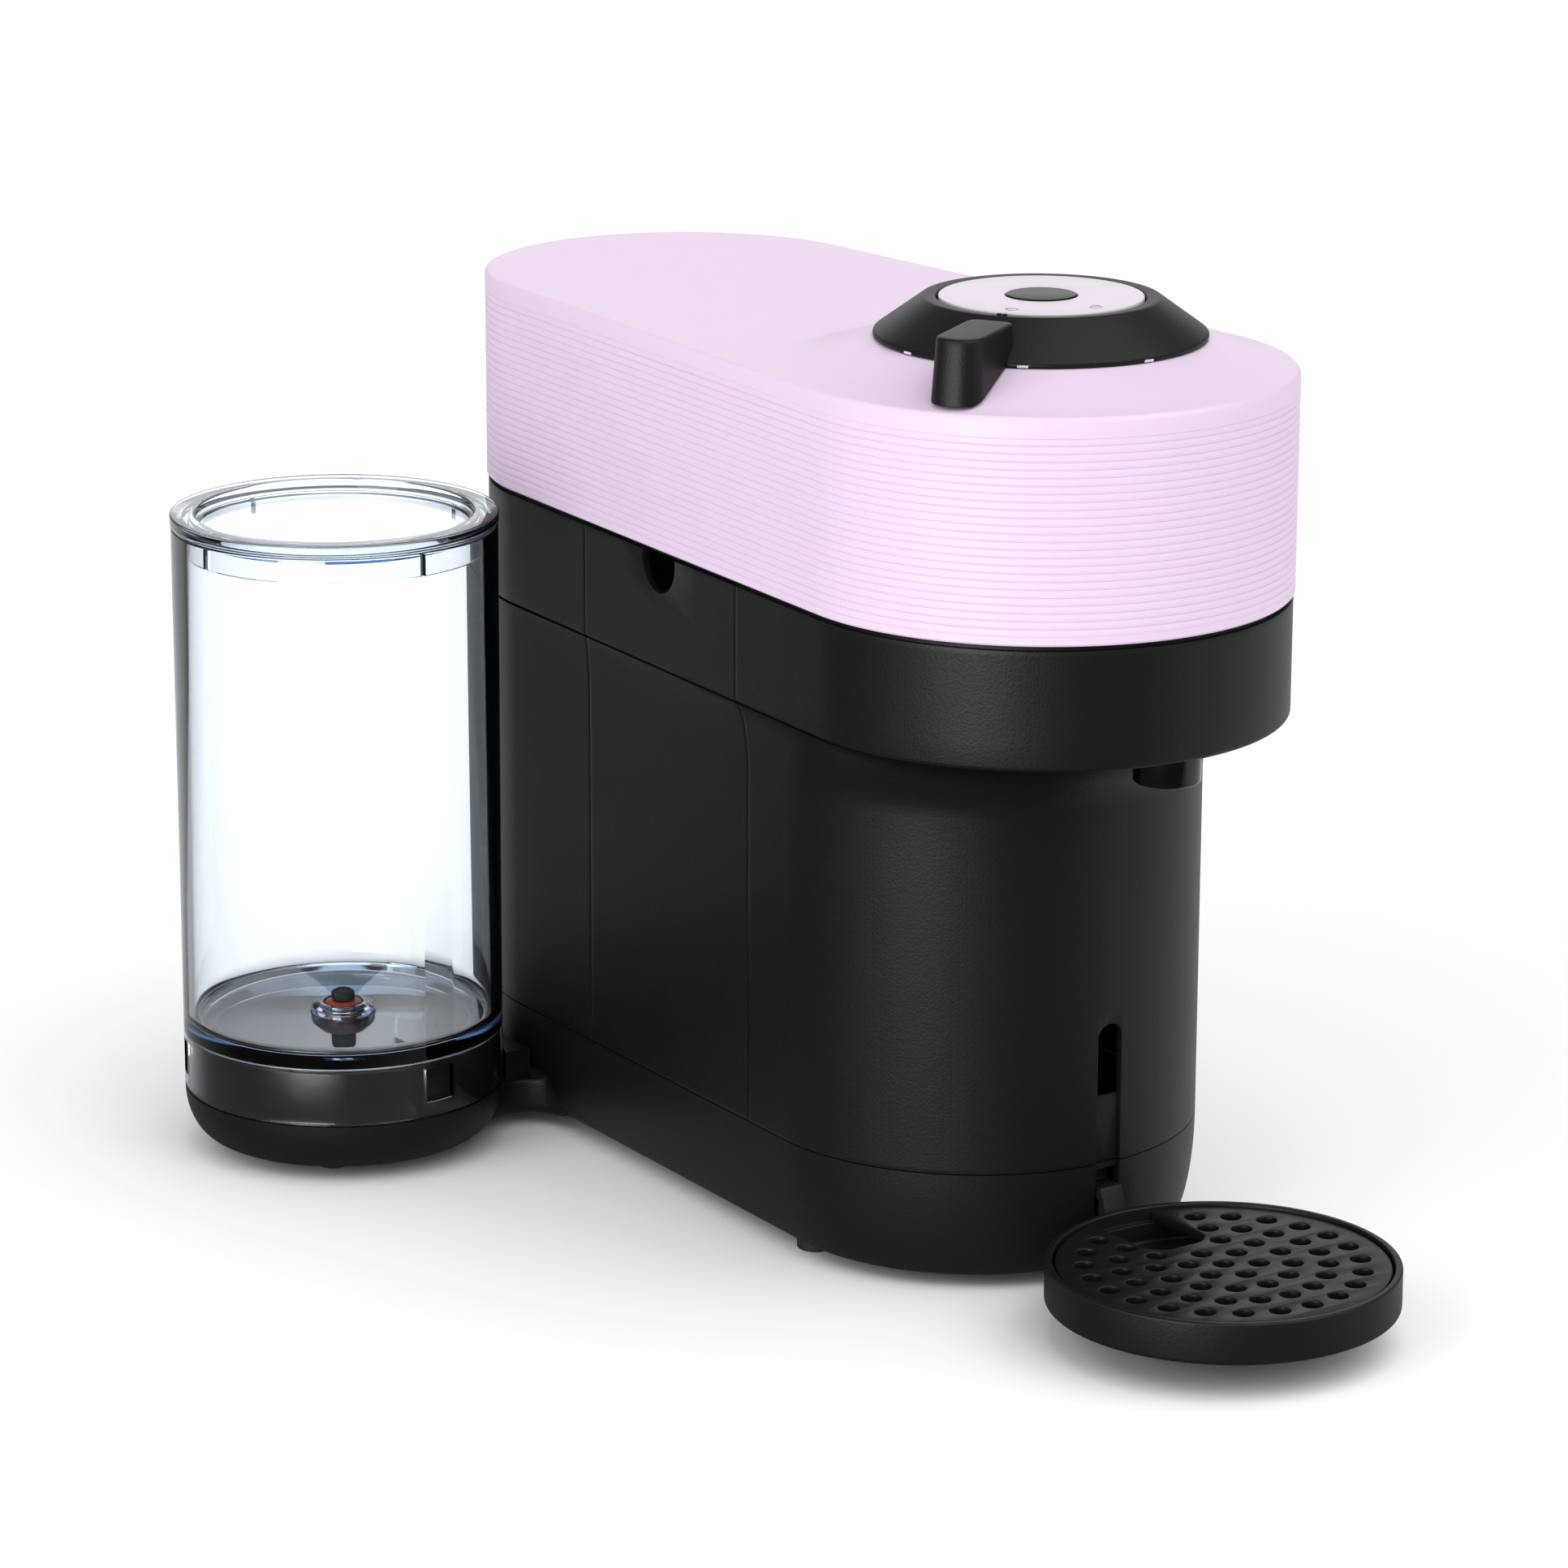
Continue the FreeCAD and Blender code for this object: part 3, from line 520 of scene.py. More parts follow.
# %% [markdown]
# ## Lilac cover
# The real cover is one moulding: a ribbed wall, a level top, and a low cone that rises to the
# locking ring. It is made here as one closed sheet that runs from the hole's lower edge outwards
# under the top, down inside, round the lip, up over the ribs and back over the top to the hole.
# Shallow ribs are real geometry, because their highlights are what the eye reads.

# %% Cover surface
RIB_PITCH, RIB_DEPTH, WALL = 2.0, 0.30, 2.5
RIB_LOW, RIB_HIGH = COVER_Z + 2.2, RIM_Z - 3.2


def mound(x, y):
    """Height of the top: level, then a cone whose foot is eased in by a soft ramp
    w ln(1 + e^(d/w)) of the distance d inside the cone's foot."""
    ease, slope = 1.7, (MOUND_Z - RIM_Z) / (MOUND_FOOT_R - MOUND_R)
    d = MOUND_FOOT_R - np.hypot(x, y)
    rise = slope * ease * np.log1p(np.exp(np.clip(d / ease, -40, 40)))
    return RIM_Z + np.minimum(rise, MOUND_Z - RIM_Z)


def top_rows(inset, drop, steps):
    """Rows of the top from the rim to the lid's hole, drop below the outer surface."""
    rim = around(COVER_PLAN, inset)
    turn = np.arctan2(rim[:, 1], rim[:, 0])
    hole = LID_HOLE_R * np.column_stack([np.cos(turn), np.sin(turn)])
    s = np.asarray(steps)[:, None, None]
    flat = rim[None] * (1 - s) + hole[None] * s
    z = mound(flat[..., 0], flat[..., 1]) - drop
    return np.concatenate([flat, z[..., None]], -1)


def rib_inset(z):
    """How far the wall is pulled in at height z: rounded ribs with narrow valleys."""
    wave = np.abs(np.sin(np.pi * (z - RIB_LOW) / RIB_PITCH))
    inside = (z > RIB_LOW) & (z < RIB_HIGH)
    return np.where(inside, RIB_DEPTH * (1.0 - np.sqrt(wave)), 0.0)


rib_count = int((RIB_HIGH - RIB_LOW) / RIB_PITCH)
RIB_HIGH = RIB_LOW + rib_count * RIB_PITCH
per_rib = np.array([0.0, 0.06, 0.18, 0.5, 0.82, 0.94])
rib_z = (RIB_LOW + RIB_PITCH * (np.arange(rib_count)[:, None] + per_rib[None])).reshape(-1)
wall_z = np.concatenate([[COVER_Z + 0.5, COVER_Z + 1.6], rib_z, [RIB_HIGH, RIB_HIGH + 0.8]])
rim_turn = np.radians([0.0, 25.0, 50.0, 75.0, 90.0])
RIM_ROUND = 1.1
rows = [ring_row(COVER_PLAN, WALL, z) for z in (RIM_Z - WALL, COVER_Z + 0.3)]
rows += [ring_row(COVER_PLAN, WALL - 0.3, COVER_Z), ring_row(COVER_PLAN, 0.5, COVER_Z)]
rows += [ring_row(COVER_PLAN, float(rib_inset(z)), z) for z in wall_z]
rows += [ring_row(COVER_PLAN, RIM_ROUND * (1 - np.cos(a)), RIM_Z - RIM_ROUND * (1 - np.sin(a)))
         for a in rim_turn]
outer_steps = np.concatenate([np.linspace(0.02, 0.5, 14), np.linspace(0.52, 0.985, 40), [1.0]])
cover_top = top_rows(RIM_ROUND, 0.0, outer_steps)
rim_lift = mound(*rows[-1][:, :2].T) - RIM_Z
for i, a in enumerate(rim_turn):
    rows[len(rows) - len(rim_turn) + i][:, 2] += rim_lift * np.sin(a) ** 2
cover_under = top_rows(WALL, WALL, np.linspace(1.0, 0.03, 24))
cover = new_object("lilac_cover", grid(np.concatenate([cover_under, np.stack(rows), cover_top]),
                                       wrap_rows=True))
# Slot behind the hole, where the lid's hinge knuckle swings.
hinge_slot = rounded([(-5.1, 34, 0.1), (5.1, 34, 0.1), (5.1, 49, 0.5), (-5.1, 49, 0.5)])
cut(cover, prism(hinge_slot, 225.0, 255.0))
finish_piece(cover, "machine", "lilac_plastic", LILAC, "top_cover", crease=40)

# %% [markdown]
# ## Column and head
# Below the cover the black body flares from the column out into the round head. Rows of the
# outline change from the column's plan to the head's along a quarter of an ellipse. The same grid
# is cut at its seam columns into the front shell, the rear shell and the container's panel, and
# each sheet gets a wall with Solidify and small moulded radii with Bevel.


# %% Body skin
def body_rows():
    """Rows from the base seam to the cover: straight column, flare, round lower edge, band."""
    levels = [(COLUMN_PLAN, 0.0, z) for z in (SHELL_Z, SHELL_Z + 1.2, 45.0, 60.0, 75.0, 90.0,
                                         105.0, 118.0)]
    for a in np.radians(np.arange(0.0, 85.1, 5.0)):
        t = 1 - np.cos(a)
        plan = COLUMN_PLAN + (HEAD_PLAN - COLUMN_PLAN) * t
        levels.append((plan, 0.0, FLARE_Z + (HEAD_Z - FLARE_Z) * np.sin(a)))
    edge = 1.3
    for a in np.radians([-90.0, -65.0, -40.0, -15.0, 0.0]):
        levels.append((HEAD_PLAN, edge * (1 - np.cos(a)), HEAD_Z + edge * (1 + np.sin(a))))
    levels += [(HEAD_PLAN, 0.0, z) for z in (155.0, 163.0, 171.0, SHELL_TOP - 1.4, SHELL_TOP)]
    return np.stack([ring_row(*level) for level in levels])


skin = body_rows()
i_rear, i_left = ARC_FRONT + N_SIDE, ARC_FRONT + N_SIDE + ARC_REAR
# On each side three columns lie beyond each of the panel's seams. The right side has no panel, so
# the front shell runs on to the rear seam there.
BEYOND = 3
front_cols = np.concatenate([np.arange(N_PLAN - BEYOND, N_PLAN), np.arange(0, i_rear - BEYOND)])
rear_cols = np.arange(i_rear - BEYOND, i_left + BEYOND)
panel_cols = np.arange(i_left + BEYOND, N_PLAN - BEYOND)
print("rows and columns of the skin", skin.shape[:2])


def shell(name, columns):
    """Part of the skin as a moulding with a wall."""
    ob = new_object(name, grid(skin[:, columns], wrap_cols=False), outwards=False)
    with_modifier(ob, "SOLIDIFY", thickness=0.0022, offset=-1.0, use_even_offset=False)
    return ob


front = shell("front_shell_skin", front_cols)
# Long slot in the column's front, and the shallow channel that runs down from it.
half_slot = 3.8
long_slot = rounded([(-half_slot, 51.4, 0.4), (half_slot, 51.4, 0.4), (half_slot, 70.8, 3.79),
                     (-half_slot, 70.8, 3.79)], 8)
channel = rounded([(-half_slot, 20.0, 0.2), (half_slot, 20.0, 0.2), (half_slot, 52.0, 0.2),
                   (-half_slot, 52.0, 0.2)])
cut(front, prism(long_slot, -45.0, -20.0, "xz"), prism(channel, -45.0, -32.8, "xz"))
soften(front, 0.3, 45.0)
finish_piece(front, "machine", "black_plastic", BLACK, "front_shell")

rear = soften(shell("rear_shell_skin", rear_cols), 0.3, 45.0)
VENTS, VENT_Z, VENT_PITCH, VENT_HALF, VENT_HEIGHT = 9, 60.0, 6.0, 18.0, 2.5
for low in VENT_Z + VENT_PITCH * np.arange(VENTS):
    high = low + VENT_HEIGHT
    vent = rounded([(-VENT_HALF, low, 1.2), (VENT_HALF, low, 1.2), (VENT_HALF, high, 1.2),
                    (-VENT_HALF, high, 1.2)])
    cut(rear, prism(vent, 205.0, 225.0, "xz"))
finish_piece(rear, "machine", "black_plastic", BLACK, "rear_shell")

panel = shell("container_panel_skin", panel_cols)
cut(panel, prism(circle(THUMB_R, THUMB_Y, THUMB_Z, 48), -80.0, -40.0, "yz"))
soften(panel, 0.3, 45.0)
finish_piece(panel, "container", "black_plastic", BLACK, "container_panel")

# %% [markdown]
# ## Base, neck and tank foot
# One moulding carries the column and the tank. The base and the foot are bowls whose lower edge
# is a quarter of an ellipse, and the neck between them is a plate with a hollow curve on each
# side. The three closed shapes are fused into one.

# %% Base surface
BASE_INSET, BASE_TOP = 6.6, SHELL_Z - 0.3
ellipse = np.radians(np.linspace(90.0, 0.0, 15))
base_rows = [ring_row(COLUMN_PLAN, BASE_INSET * (1 - np.cos(a)),
                      BASE_TOP - (BASE_TOP - BASE_Z) * np.sin(a)) for a in ellipse]
inner_rows = [ring_row(COLUMN_PLAN, 2.4 + BASE_INSET * (1 - np.cos(a)),
                       BASE_TOP - (BASE_TOP - BASE_Z - 2.4) * np.sin(a)) for a in ellipse[::-1]]


def to_spine(row):
    """The row drawn in to the centre line between the two circles, to fill a floor."""
    spine = row.copy()
    spine[:, 0] = 0.0
    spine[:, 1] = np.clip(row[:, 1], COLUMN_Y, REAR_Y)
    return spine


base_points = np.stack([to_spine(base_rows[0])] + base_rows + inner_rows
                       + [to_spine(inner_rows[-1])])
base = new_object("base_moulding_skin", grid(base_points))

FOOT_R, FOOT_TOP, FOOT_RIM = 35.7, 17.4, 44.0
foot_turn = np.radians(np.linspace(0.0, 90.0, 13))
foot_edge = np.column_stack([FOOT_R + (FOOT_RIM - FOOT_R) * np.sin(foot_turn),
                             FOOT_TOP - (FOOT_TOP - BASE_Z) * np.cos(foot_turn)])
foot_profile = np.concatenate([[(0.0, BASE_Z)], foot_edge, [(33.0, FOOT_TOP), (33.0, 8.0),
                                                            (0.0, 8.0)]])


def neck_surface():
    """Bridge from base to foot, as sections across it. The front edge is an arc about a point
    beside the base, the rear edge an arc about a point behind; both flare at the ends."""
    x = np.linspace(-47.5, -75.0, 40)
    a = np.clip((x + 62.3) / 10.7, -1.0, 1.0)
    y_front = 146.3 + 10.7 * np.sqrt(1.0 - a * a)
    y_front = np.where(x < -66.8, 156.0 - (-66.8 - x) * 0.25, y_front)
    b = np.clip((x + 55.3) / 20.0, -1.0, 1.0)
    y_rear = 206.0 - 20.0 * np.sqrt(1.0 - b * b)
    near_base = np.clip(1.0 - (-51.0 - x) / 5.0, 0.0, 1.0)
    near_foot = np.clip(1.0 - (x + 72.0) / 8.0, 0.0, 1.0)
    top = 14.0 + 5.0 * near_base ** 2 + 2.5 * near_foot ** 2
    points = []
    for xi, y0, y1, zt in zip(x, y_front, y_rear, top):
        o = rounded([(y0, BASE_Z, 3.0), (y1, BASE_Z, 3.0), (y1, zt, 1.2), (y0, zt, 1.2)], 5)
        points.append(np.column_stack([np.full(len(o), xi), o]))
    points = np.stack(points)
    ends = [np.broadcast_to(points[i].mean(0), points[i].shape) for i in (0, -1)]
    return grid(np.concatenate([ends[0][None], points, ends[1][None]]))


fuse(base, lathe(foot_profile, *TANK_AT), neck_surface())
hook_slot = rounded([(-half_slot, 22.5, 0.6), (half_slot, 22.5, 0.6), (half_slot, 31.5, 0.6),
                     (-half_slot, 31.5, 0.6)])
cut(base, prism(hook_slot, -45.0, -20.0, "xz"), prism(channel, -45.0, -32.8, "xz"))
finish_piece(base, "machine", "black_plastic", BLACK, "base_moulding", crease=38)

# %% [markdown]
# ## Locking ring, lever and lid
# The black cone turns to lock the head; its lever runs out over the cover and turns down into a
# knob. In its middle a lilac disc holds the round brewing button.

# %% Ring, disc and button
RING_Z, DISC_R, BUTTON_R = 244.9, 26.1, 8.95
ring = new_object("locking_ring_cone", turned(
    [(34.0, RING_Z, 0.2), (42.6, RING_Z, 0.4), (42.6, RING_Z + 1.2, 1.0), (30.2, 255.1, 1.8),
     (26.9, 254.9, 0.4), (26.5, 254.2, 0.2), (26.5, 252.0, 0.2), (34.0, 249.0, 0.3)], sides=192,
    steps=6))
finish_piece(ring, "lock", "black_plastic", BLACK, "locking_ring", crease=50)
disc = new_object("lid_disc_face", turned(
    [(BUTTON_R + 0.3, 253.25, 0.1), (DISC_R, 253.25, 0.1), (DISC_R, 255.25, 0.35),
     (BUTTON_R + 0.3, 255.25, 0.3)], sides=160))
finish_piece(disc, "head_lid", "lilac_plastic", LILAC_DISC, "lid_disc", crease=50)
button = new_object("brew_button_cap", turned(
    [(0.0, 247.8, 0.0), (2.3, 247.8, 0.1), (2.3, 252.6, 0.1), (BUTTON_R, 252.6, 0.1),
     (BUTTON_R, 255.5, 0.4), (0.0, 255.3, 0.0)], sides=96))
finish_piece(button, "button", "gloss_black", ETCHED, "brew_button", crease=50)

# %% Lever
LEVER_TURN, LEVER_ROOT, LEVER_TOP, LEVER_FOOT = -147.2, 35.0, 255.0, 238.6
# Half width and nose centre at the top and at the foot: the mould's draft widens it downwards.
LEVER_HALF, LEVER_NOSE = (6.0, 6.7), (56.3, 57.6)


def lever_outline(half, centre, inset=0.0):
    """Plan of the lever: straight sides, a superellipse nose and rounded corners at the root."""
    w, root = half - inset, LEVER_ROOT + inset
    a = np.linspace(-np.pi / 2, np.pi / 2, 41)
    power = 2.0 / 2.3
    nose = np.column_stack([centre + w * np.abs(np.cos(a)) ** power,
                            w * np.sign(np.sin(a)) * np.abs(np.sin(a)) ** power])
    c = np.linspace(0.0, np.pi / 2, 9)[:, None]
    corner = 2.4
    far = [root + corner, w - corner] + corner * np.hstack([-np.sin(c), np.cos(c)])
    near = [root + corner, corner - w] + corner * np.hstack([-np.cos(c), -np.sin(c)])
    side = np.linspace(centre, root + corner, 14)[1:-1]
    return np.concatenate([nose, np.column_stack([side, np.full(12, w)]), far, near,
                           np.column_stack([side[::-1], np.full(12, -w)])])


def lever_foot(reach):
    """Height of the underside: just above the cover's cone, then level at the nose."""
    return np.maximum(mound(reach, 0.0) + 0.5, LEVER_FOOT)


def lever_surface():
    """Rows from the middle of the top, over the edge, down the drafted wall to the underside."""
    levels = [(3.0, 0.0), (1.2, 0.0), (0.55, 0.07), (0.2, 0.25), (0.03, 0.6)]
    rows = []
    for inset, drop in levels:
        o = lever_outline(LEVER_HALF[0] + 0.04 * drop, LEVER_NOSE[0], inset)
        rows.append(np.column_stack([o, np.full(len(o), LEVER_TOP - drop)]))
    for t in np.linspace(0.06, 0.985, 18):
        o = lever_outline(np.interp(t, (0, 1), LEVER_HALF), np.interp(t, (0, 1), LEVER_NOSE))
        low = lever_foot(o[:, 0])
        rows.append(np.column_stack([o, LEVER_TOP - t * (LEVER_TOP - low)]))
    for inset in (0.35, 3.0):
        o = lever_outline(LEVER_HALF[1], LEVER_NOSE[1], inset)
        rows.append(np.column_stack([o, lever_foot(o[:, 0])]))
    rows[0][:, 1] = 0.0
    last = rows[-1].copy()
    last[:, 1] = 0.0
    return grid(np.stack(rows + [last]))


lever = new_object("lock_lever", turn_about(lever_surface(), LEVER_TURN))
finish_piece(lever, "lock", "black_plastic", BLACK, "lever", crease=45)


# %% Marks on the disc and the ring
def band(outer, inner, low, high, closed=True):
    """Flat strip between two lines of the same number of points, closed to a frame or open."""
    rows = [(outer, low), (outer, high), (inner, high), (inner, low)]
    return grid(np.stack([np.column_stack([o, np.full(len(o), z)]) for o, z in rows]),
                wrap_rows=True, wrap_cols=closed)


def padlock(x, y, opened):
    """Small printed padlock: a framed body and a bow, which is turned aside when open."""
    line, low, high = 0.22, 255.2, 255.31
    size = [(-1.5, -1.2), (1.5, -1.2), (1.5, 0.9), (-1.5, 0.9)]
    frame_out = rounded([(a, b, 0.3) for a, b in size], 6)
    middle = np.array([0.0, -0.15])
    frame_in = middle + (frame_out - middle) * [1 - line / 1.5, 1 - line / 1.05]
    a = np.linspace(-0.15, np.pi + (0.15 if not opened else -0.5), 18)
    shift = 0.0 if not opened else 0.9
    arc_out = np.column_stack([shift + 1.05 * np.cos(a), 1.1 + 1.15 * np.sin(a)])
    arc_in = np.column_stack([shift + (1.05 - line) * np.cos(a), 1.1 + (1.15 - line) * np.sin(a)])
    bow = band(arc_out, arc_in, low, high, closed=False)
    return moved(join(band(frame_out, frame_in, low, high), bow), x, y)


marks = new_object("lock_marks", join(padlock(-18.0, -11.8, False), padlock(1.2, -20.9, True)))
finish_piece(marks, "head_lid", "grey_plastic", PRINT, crease=40)

dots = [turned([(0.0, 254.95, 0), (0.62, 254.95, 0.1), (0.62, 255.5, 0.2), (0.0, 255.5, 0)],
               28.3 * np.cos(a), 28.3 * np.sin(a), 24) for a in np.radians([-148.7, -145.7])]
pip = new_object("pointer_dots", join(*dots))
finish_piece(pip, "lock", "gloss_black", GLOSS, "pointer_pip", crease=50)

tab_side = rounded([(-1.4, 244.93, 0.1), (1.4, 244.93, 0.1), (1.4, 245.55, 0.15),
                    (-1.4, 245.55, 0.15)])
tab = prism(tab_side, 41.5, 42.72, "yz")
tabs = new_object("ring_tabs", join(*[turn_about(tab, 45.0 * i + 2.0) for i in range(8)]))
finish_piece(tabs, "lock", "lilac_plastic", LILAC, crease=40)

# %% [markdown]
# ## Outlet
# A short polished nozzle under the head, recessed below, with two small spouts.

# %% Outlet nozzle
OUTLET_Y, OUTLET_R, OUTLET_Z = -55.0, 8.6, 140.4
nozzle = turned([(0.0, 143.0, 0), (6.6, 143.0, 0.3), (7.2, OUTLET_Z, 0.5), (OUTLET_R, OUTLET_Z, 0.7),
                 (OUTLET_R, 148.5, 0.2), (7.0, 149.5, 0.2), (0.0, 149.5, 0)], 0.0, OUTLET_Y, 96)
spouts = [turned([(1.3, 140.9, 0.1), (2.1, 140.9, 0.2), (2.3, 143.4, 0.1), (1.3, 143.4, 0.1)],
                 x, OUTLET_Y, 40) for x in (-3.2, 3.2)]
outlet = new_object("coffee_outlet_nozzle", join(nozzle, *spouts))
finish_piece(outlet, "machine", "gloss_black", GLOSS, "coffee_outlet", crease=40)

# %% [markdown]
# ## Water tank
# The tank is one clear cup: a thick wall, a floor, and a skirt below it that drops over the
# black pedestal. Wall thickness matters as much as the material, because clear plastic is read
# by the dark lines where light bends at its edges.

# %% Tank, lid and valve
TANK_R, TANK_Z, TANK_FLOOR, TANK_TOP = 44.0, 17.8, 33.6, 175.3
tank = new_object("water_tank_cup", turned(
    [(42.4, TANK_Z, 0.2), (TANK_R, TANK_Z, 0.5), (TANK_R + 0.3, TANK_TOP, 0.5),
     (41.9, TANK_TOP, 0.4), (41.6, 37.0, 3.0), (2.65, 36.4, 0.2), (2.65, TANK_FLOOR, 0.2),
     (42.4, TANK_FLOOR, 0.6)], *TANK_AT, 160, 6))
window = rounded([(-4.6, 22.0, 0.5), (4.6, 22.0, 0.5), (4.6, 31.5, 0.5), (-4.6, 31.5, 0.5)])
for angle in (-84.0, 36.0, 156.0):
    cut(tank, turn_about(moved(prism(window, 40.0, 50.0, "yz"), *TANK_AT), angle, *TANK_AT))
finish_piece(tank, "tank", "clear_plastic", CLEAR, "water_tank", crease=40)

lid = new_object("tank_lid_cover", turned(
    [(0.0, 172.6, 0), (37.0, 172.6, 0.4), (37.6, 175.6, 0.3), (39.4, 175.6, 0.1),
     (39.4, 168.0, 0.3), (41.0, 168.0, 0.3), (41.0, 175.6, 0.2), (TANK_LID_R, 175.6, 0.4),
     (TANK_LID_R, TANK_LID_TOP, 0.7), (37.9, TANK_LID_TOP, 0.8), (37.2, 175.4, 0.6),
     (0.0, 175.2, 0)], *TANK_AT, 160, 5))
slit = rounded([(-0.5, 165.0, 0.1), (0.5, 165.0, 0.1), (0.5, 175.0, 0.45), (-0.5, 175.0, 0.45)])
for i in range(4):
    cut(lid, turn_about(moved(prism(slit, 38.6, 41.5, "yz"), *TANK_AT), 90.0 * i - 86.0, *TANK_AT))
finish_piece(lid, "tank_cover", "clear_plastic", CLEAR, "tank_lid", crease=40)

valve_ring = new_object("valve_ring_collar", turned(
    [(5.5, 36.45, 0.1), (9.2, 36.45, 0.1), (8.6, 38.2, 0.6), (6.6, 39.2, 0.5), (5.5, 39.2, 0.3)],
    *TANK_AT, 72))
finish_piece(valve_ring, "tank", "clear_plastic", CLEAR, "valve_ring", crease=50)
seal = new_object("valve_seal_ring", turned(
    [(2.75, 36.45, 0.1), (5.2, 36.45, 0.1), (5.3, 38.9, 1.0), (3.6, 39.6, 0.6), (2.75, 39.6, 0.2)],
    *TANK_AT, 72, 6))
finish_piece(seal, "tank", "red_silicone", RED, "valve_seal", crease=50)
plunger = new_object("valve_plunger_cap", turned(
    [(0.0, 34.9, 0), (2.2, 34.9, 0.2), (2.2, 39.8, 0.2), (3.3, 39.8, 0.4), (3.2, 41.9, 0.7),
     (1.9, 42.5, 0.5), (1.6, 42.1, 0.3), (0.0, 42.1, 0)], *TANK_AT, 64))
finish_piece(plunger, "valve", "rubber", RUBBER, "valve_plunger", crease=50)

pedestal = new_object("tank_pedestal_drum", turned(
    [(7.6, 30.7, 0.2), (39.5, 30.7, 0.2), (39.5, 17.45, 0.1), (42.0, 17.45, 0.1),
     (42.0, 33.2, 1.2), (36.0, 33.2, 0.6), (35.4, 32.6, 0.6), (7.6, 32.6, 0.3)],
    *TANK_AT, 128))
finish_piece(pedestal, "machine", "black_plastic", SATIN, "tank_pedestal", crease=40)

# %% [markdown]
# ## Cup support
# A shallow round cup with a perforated plate laid in it. The plate is a flat outline with holes:
# Blender fills a flat curve that has inner rings, so one curve with its extrusion and bevel makes
# the whole plate, and is then turned into a mesh.

# %% Cup, grid and hook
tray = new_object("drip_tray_cup", turned(
    [(0.0, 9.8, 0), (TRAY_R, 9.8, 1.3), (TRAY_R, 20.9, 0.6),
     (TRAY_R - 1.9, 20.9, 0.5), (TRAY_R - 2.0, 17.2, 0.1), (TRAY_R - 4.0, 17.2, 0.2),
     (TRAY_R - 4.2, 12.0, 1.0), (0.0, 12.0, 0)], 0.0, TRAY_Y, 160, 5))
finish_piece(tray, "cup_support", "black_plastic", BLACK, "drip_tray", crease=45)

GRID_R, HOLE_R = TRAY_R - 2.6, 2.65
NOTCH_HALF, NOTCH_Y, NOTCH_CORNER = 9.6, 16.0, 6.0
# (radius, holes, step in degrees) of each ring.
HOLE_RINGS = ((9.0, 6, 60.0), (17.6, 11, 28.8), (26.5, 17, 18.75), (35.15, 21, 15.36))


def hole_centres():
    """A middle hole and rings of holes. A ring is (radius, count, step in degrees), counted both
    ways from the front, so the notch at the rear stays free."""
    places = [np.zeros((1, 2))]
    for radius, count, step in HOLE_RINGS:
        a = np.radians(-90.0 + step * (np.arange(count) - (count - 1) // 2))
        places.append(radius * np.column_stack([np.cos(a), np.sin(a)]))
    return np.concatenate(places)


def plate_outline():
    """Round plate with a notch for a fingertip: straight sides and two rounded corners."""
    meet = np.arcsin(NOTCH_HALF / GRID_R)
    outer = np.linspace(np.pi / 2 + meet, 2.5 * np.pi - meet, 150)
    rim = GRID_R * np.column_stack([np.cos(outer), np.sin(outer)])
    a = np.linspace(0.0, -np.pi / 2, 10)
    corner = np.column_stack([NOTCH_HALF - NOTCH_CORNER + NOTCH_CORNER * np.cos(a),
                              NOTCH_Y + NOTCH_CORNER + NOTCH_CORNER * np.sin(a)])
    return np.concatenate([rim, corner, (corner * [-1.0, 1.0])[::-1]])


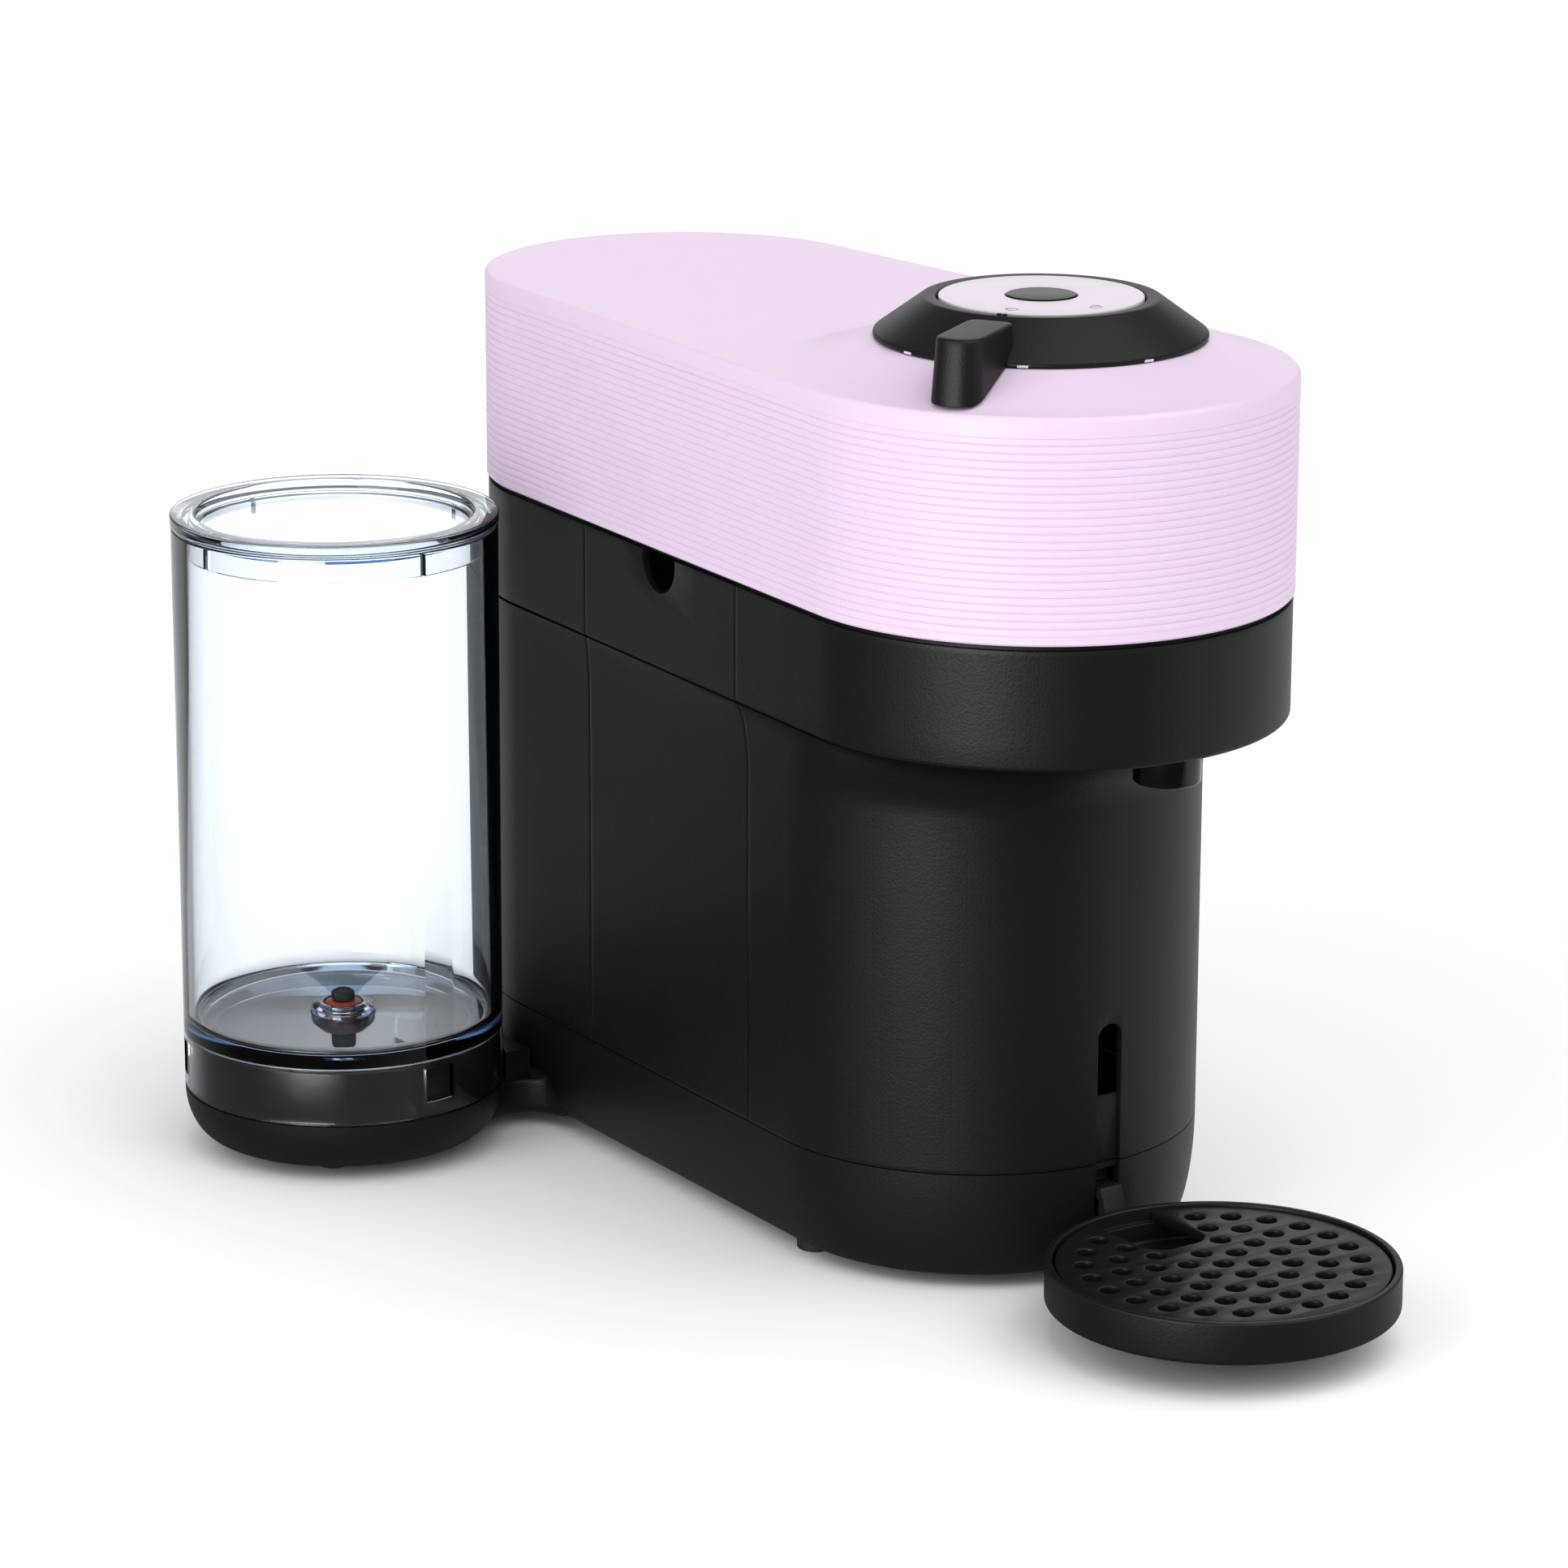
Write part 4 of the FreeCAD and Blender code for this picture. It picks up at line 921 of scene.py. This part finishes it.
def plate_from_outlines(name, outlines, z, thick, edge):
    """Flat curve with holes, extruded and bevelled, as a mesh in the frame."""
    curve = bpy.data.curves.new(name, "CURVE")
    curve.dimensions, curve.fill_mode = "2D", "BOTH"
    curve.extrude, curve.bevel_depth = (thick / 2 - edge) / 1000.0, edge / 1000.0
    curve.bevel_resolution = 2
    curve.offset = -edge / 1000.0
    for o in outlines:
        spline = curve.splines.new("POLY")
        spline.points.add(len(o) - 1)
        flat = np.column_stack([o / 1000.0, np.zeros(len(o)), np.ones(len(o))])
        spline.points.foreach_set("co", flat.ravel())
        spline.use_cyclic_u = True
    holder = bpy.data.objects.new(name, curve)
    bpy.context.scene.collection.objects.link(holder)
    ready = bpy.context.evaluated_depsgraph_get()
    mesh = bpy.data.meshes.new_from_object(holder.evaluated_get(ready))
    bpy.data.objects.remove(holder)
    mesh.transform(Matrix.Translation(((HEAD + [0.0, TRAY_Y, z + thick / 2]) / 1000.0).tolist()))
    work = bmesh.new()
    work.from_mesh(mesh)
    bmesh.ops.remove_doubles(work, verts=work.verts, dist=2e-6)
    bmesh.ops.recalc_face_normals(work, faces=work.faces)
    work.to_mesh(mesh)
    work.free()
    ob = bpy.data.objects.new(name, mesh)
    bpy.context.scene.collection.objects.link(ob)
    return ob


holes = [circle(HOLE_R, x, y) for x, y in hole_centres()]
plate = plate_from_outlines("drip_grid_plate", [plate_outline()] + holes, 17.5, 2.6, 0.35)
finish_piece(plate, "grid", "black_plastic", BLACK, "drip_grid", crease=35)

hook_side = rounded([(-39.0, 14.0, 0.3), (-37.5, 21.2, 0.5), (-35.4, 27.0, 0.6), (-29.0, 27.0, 0.3),
                     (-29.0, 30.6, 0.3), (-27.6, 30.6, 0.3), (-27.6, 24.0, 0.5), (-34.6, 24.0, 0.8),
                     (-34.6, 14.0, 0.3)])
hook = new_object("tray_hook_rib", prism(hook_side, -3.4, 3.4, "yz"))
soften(hook, 0.3, 60.0)
finish_piece(hook, "cup_support", "black_plastic", BLACK, "tray_hook", crease=40)

# %% [markdown]
# ## Feet
# Six moulded rubber feet, each a short turned pad: four under the base and two under the tank.

# %% Rubber feet
foot_places = [(-46.5, 31.2), (46.5, 31.2), (-36.0, 186.0), (36.0, 186.0), (-118.0, 160.0),
               (-118.0, 195.0)]
pads = [turned([(0.0, 0.0, 0), (4.9, 0.0, 0.6), (5.0, 4.2, 0.2), (0.0, 4.2, 0)], x, y, 40)
        for x, y in foot_places]
feet = new_object("rubber_foot_pads", join(*pads))
finish_piece(feet, "machine", "rubber", RUBBER, "rubber_feet", crease=40)
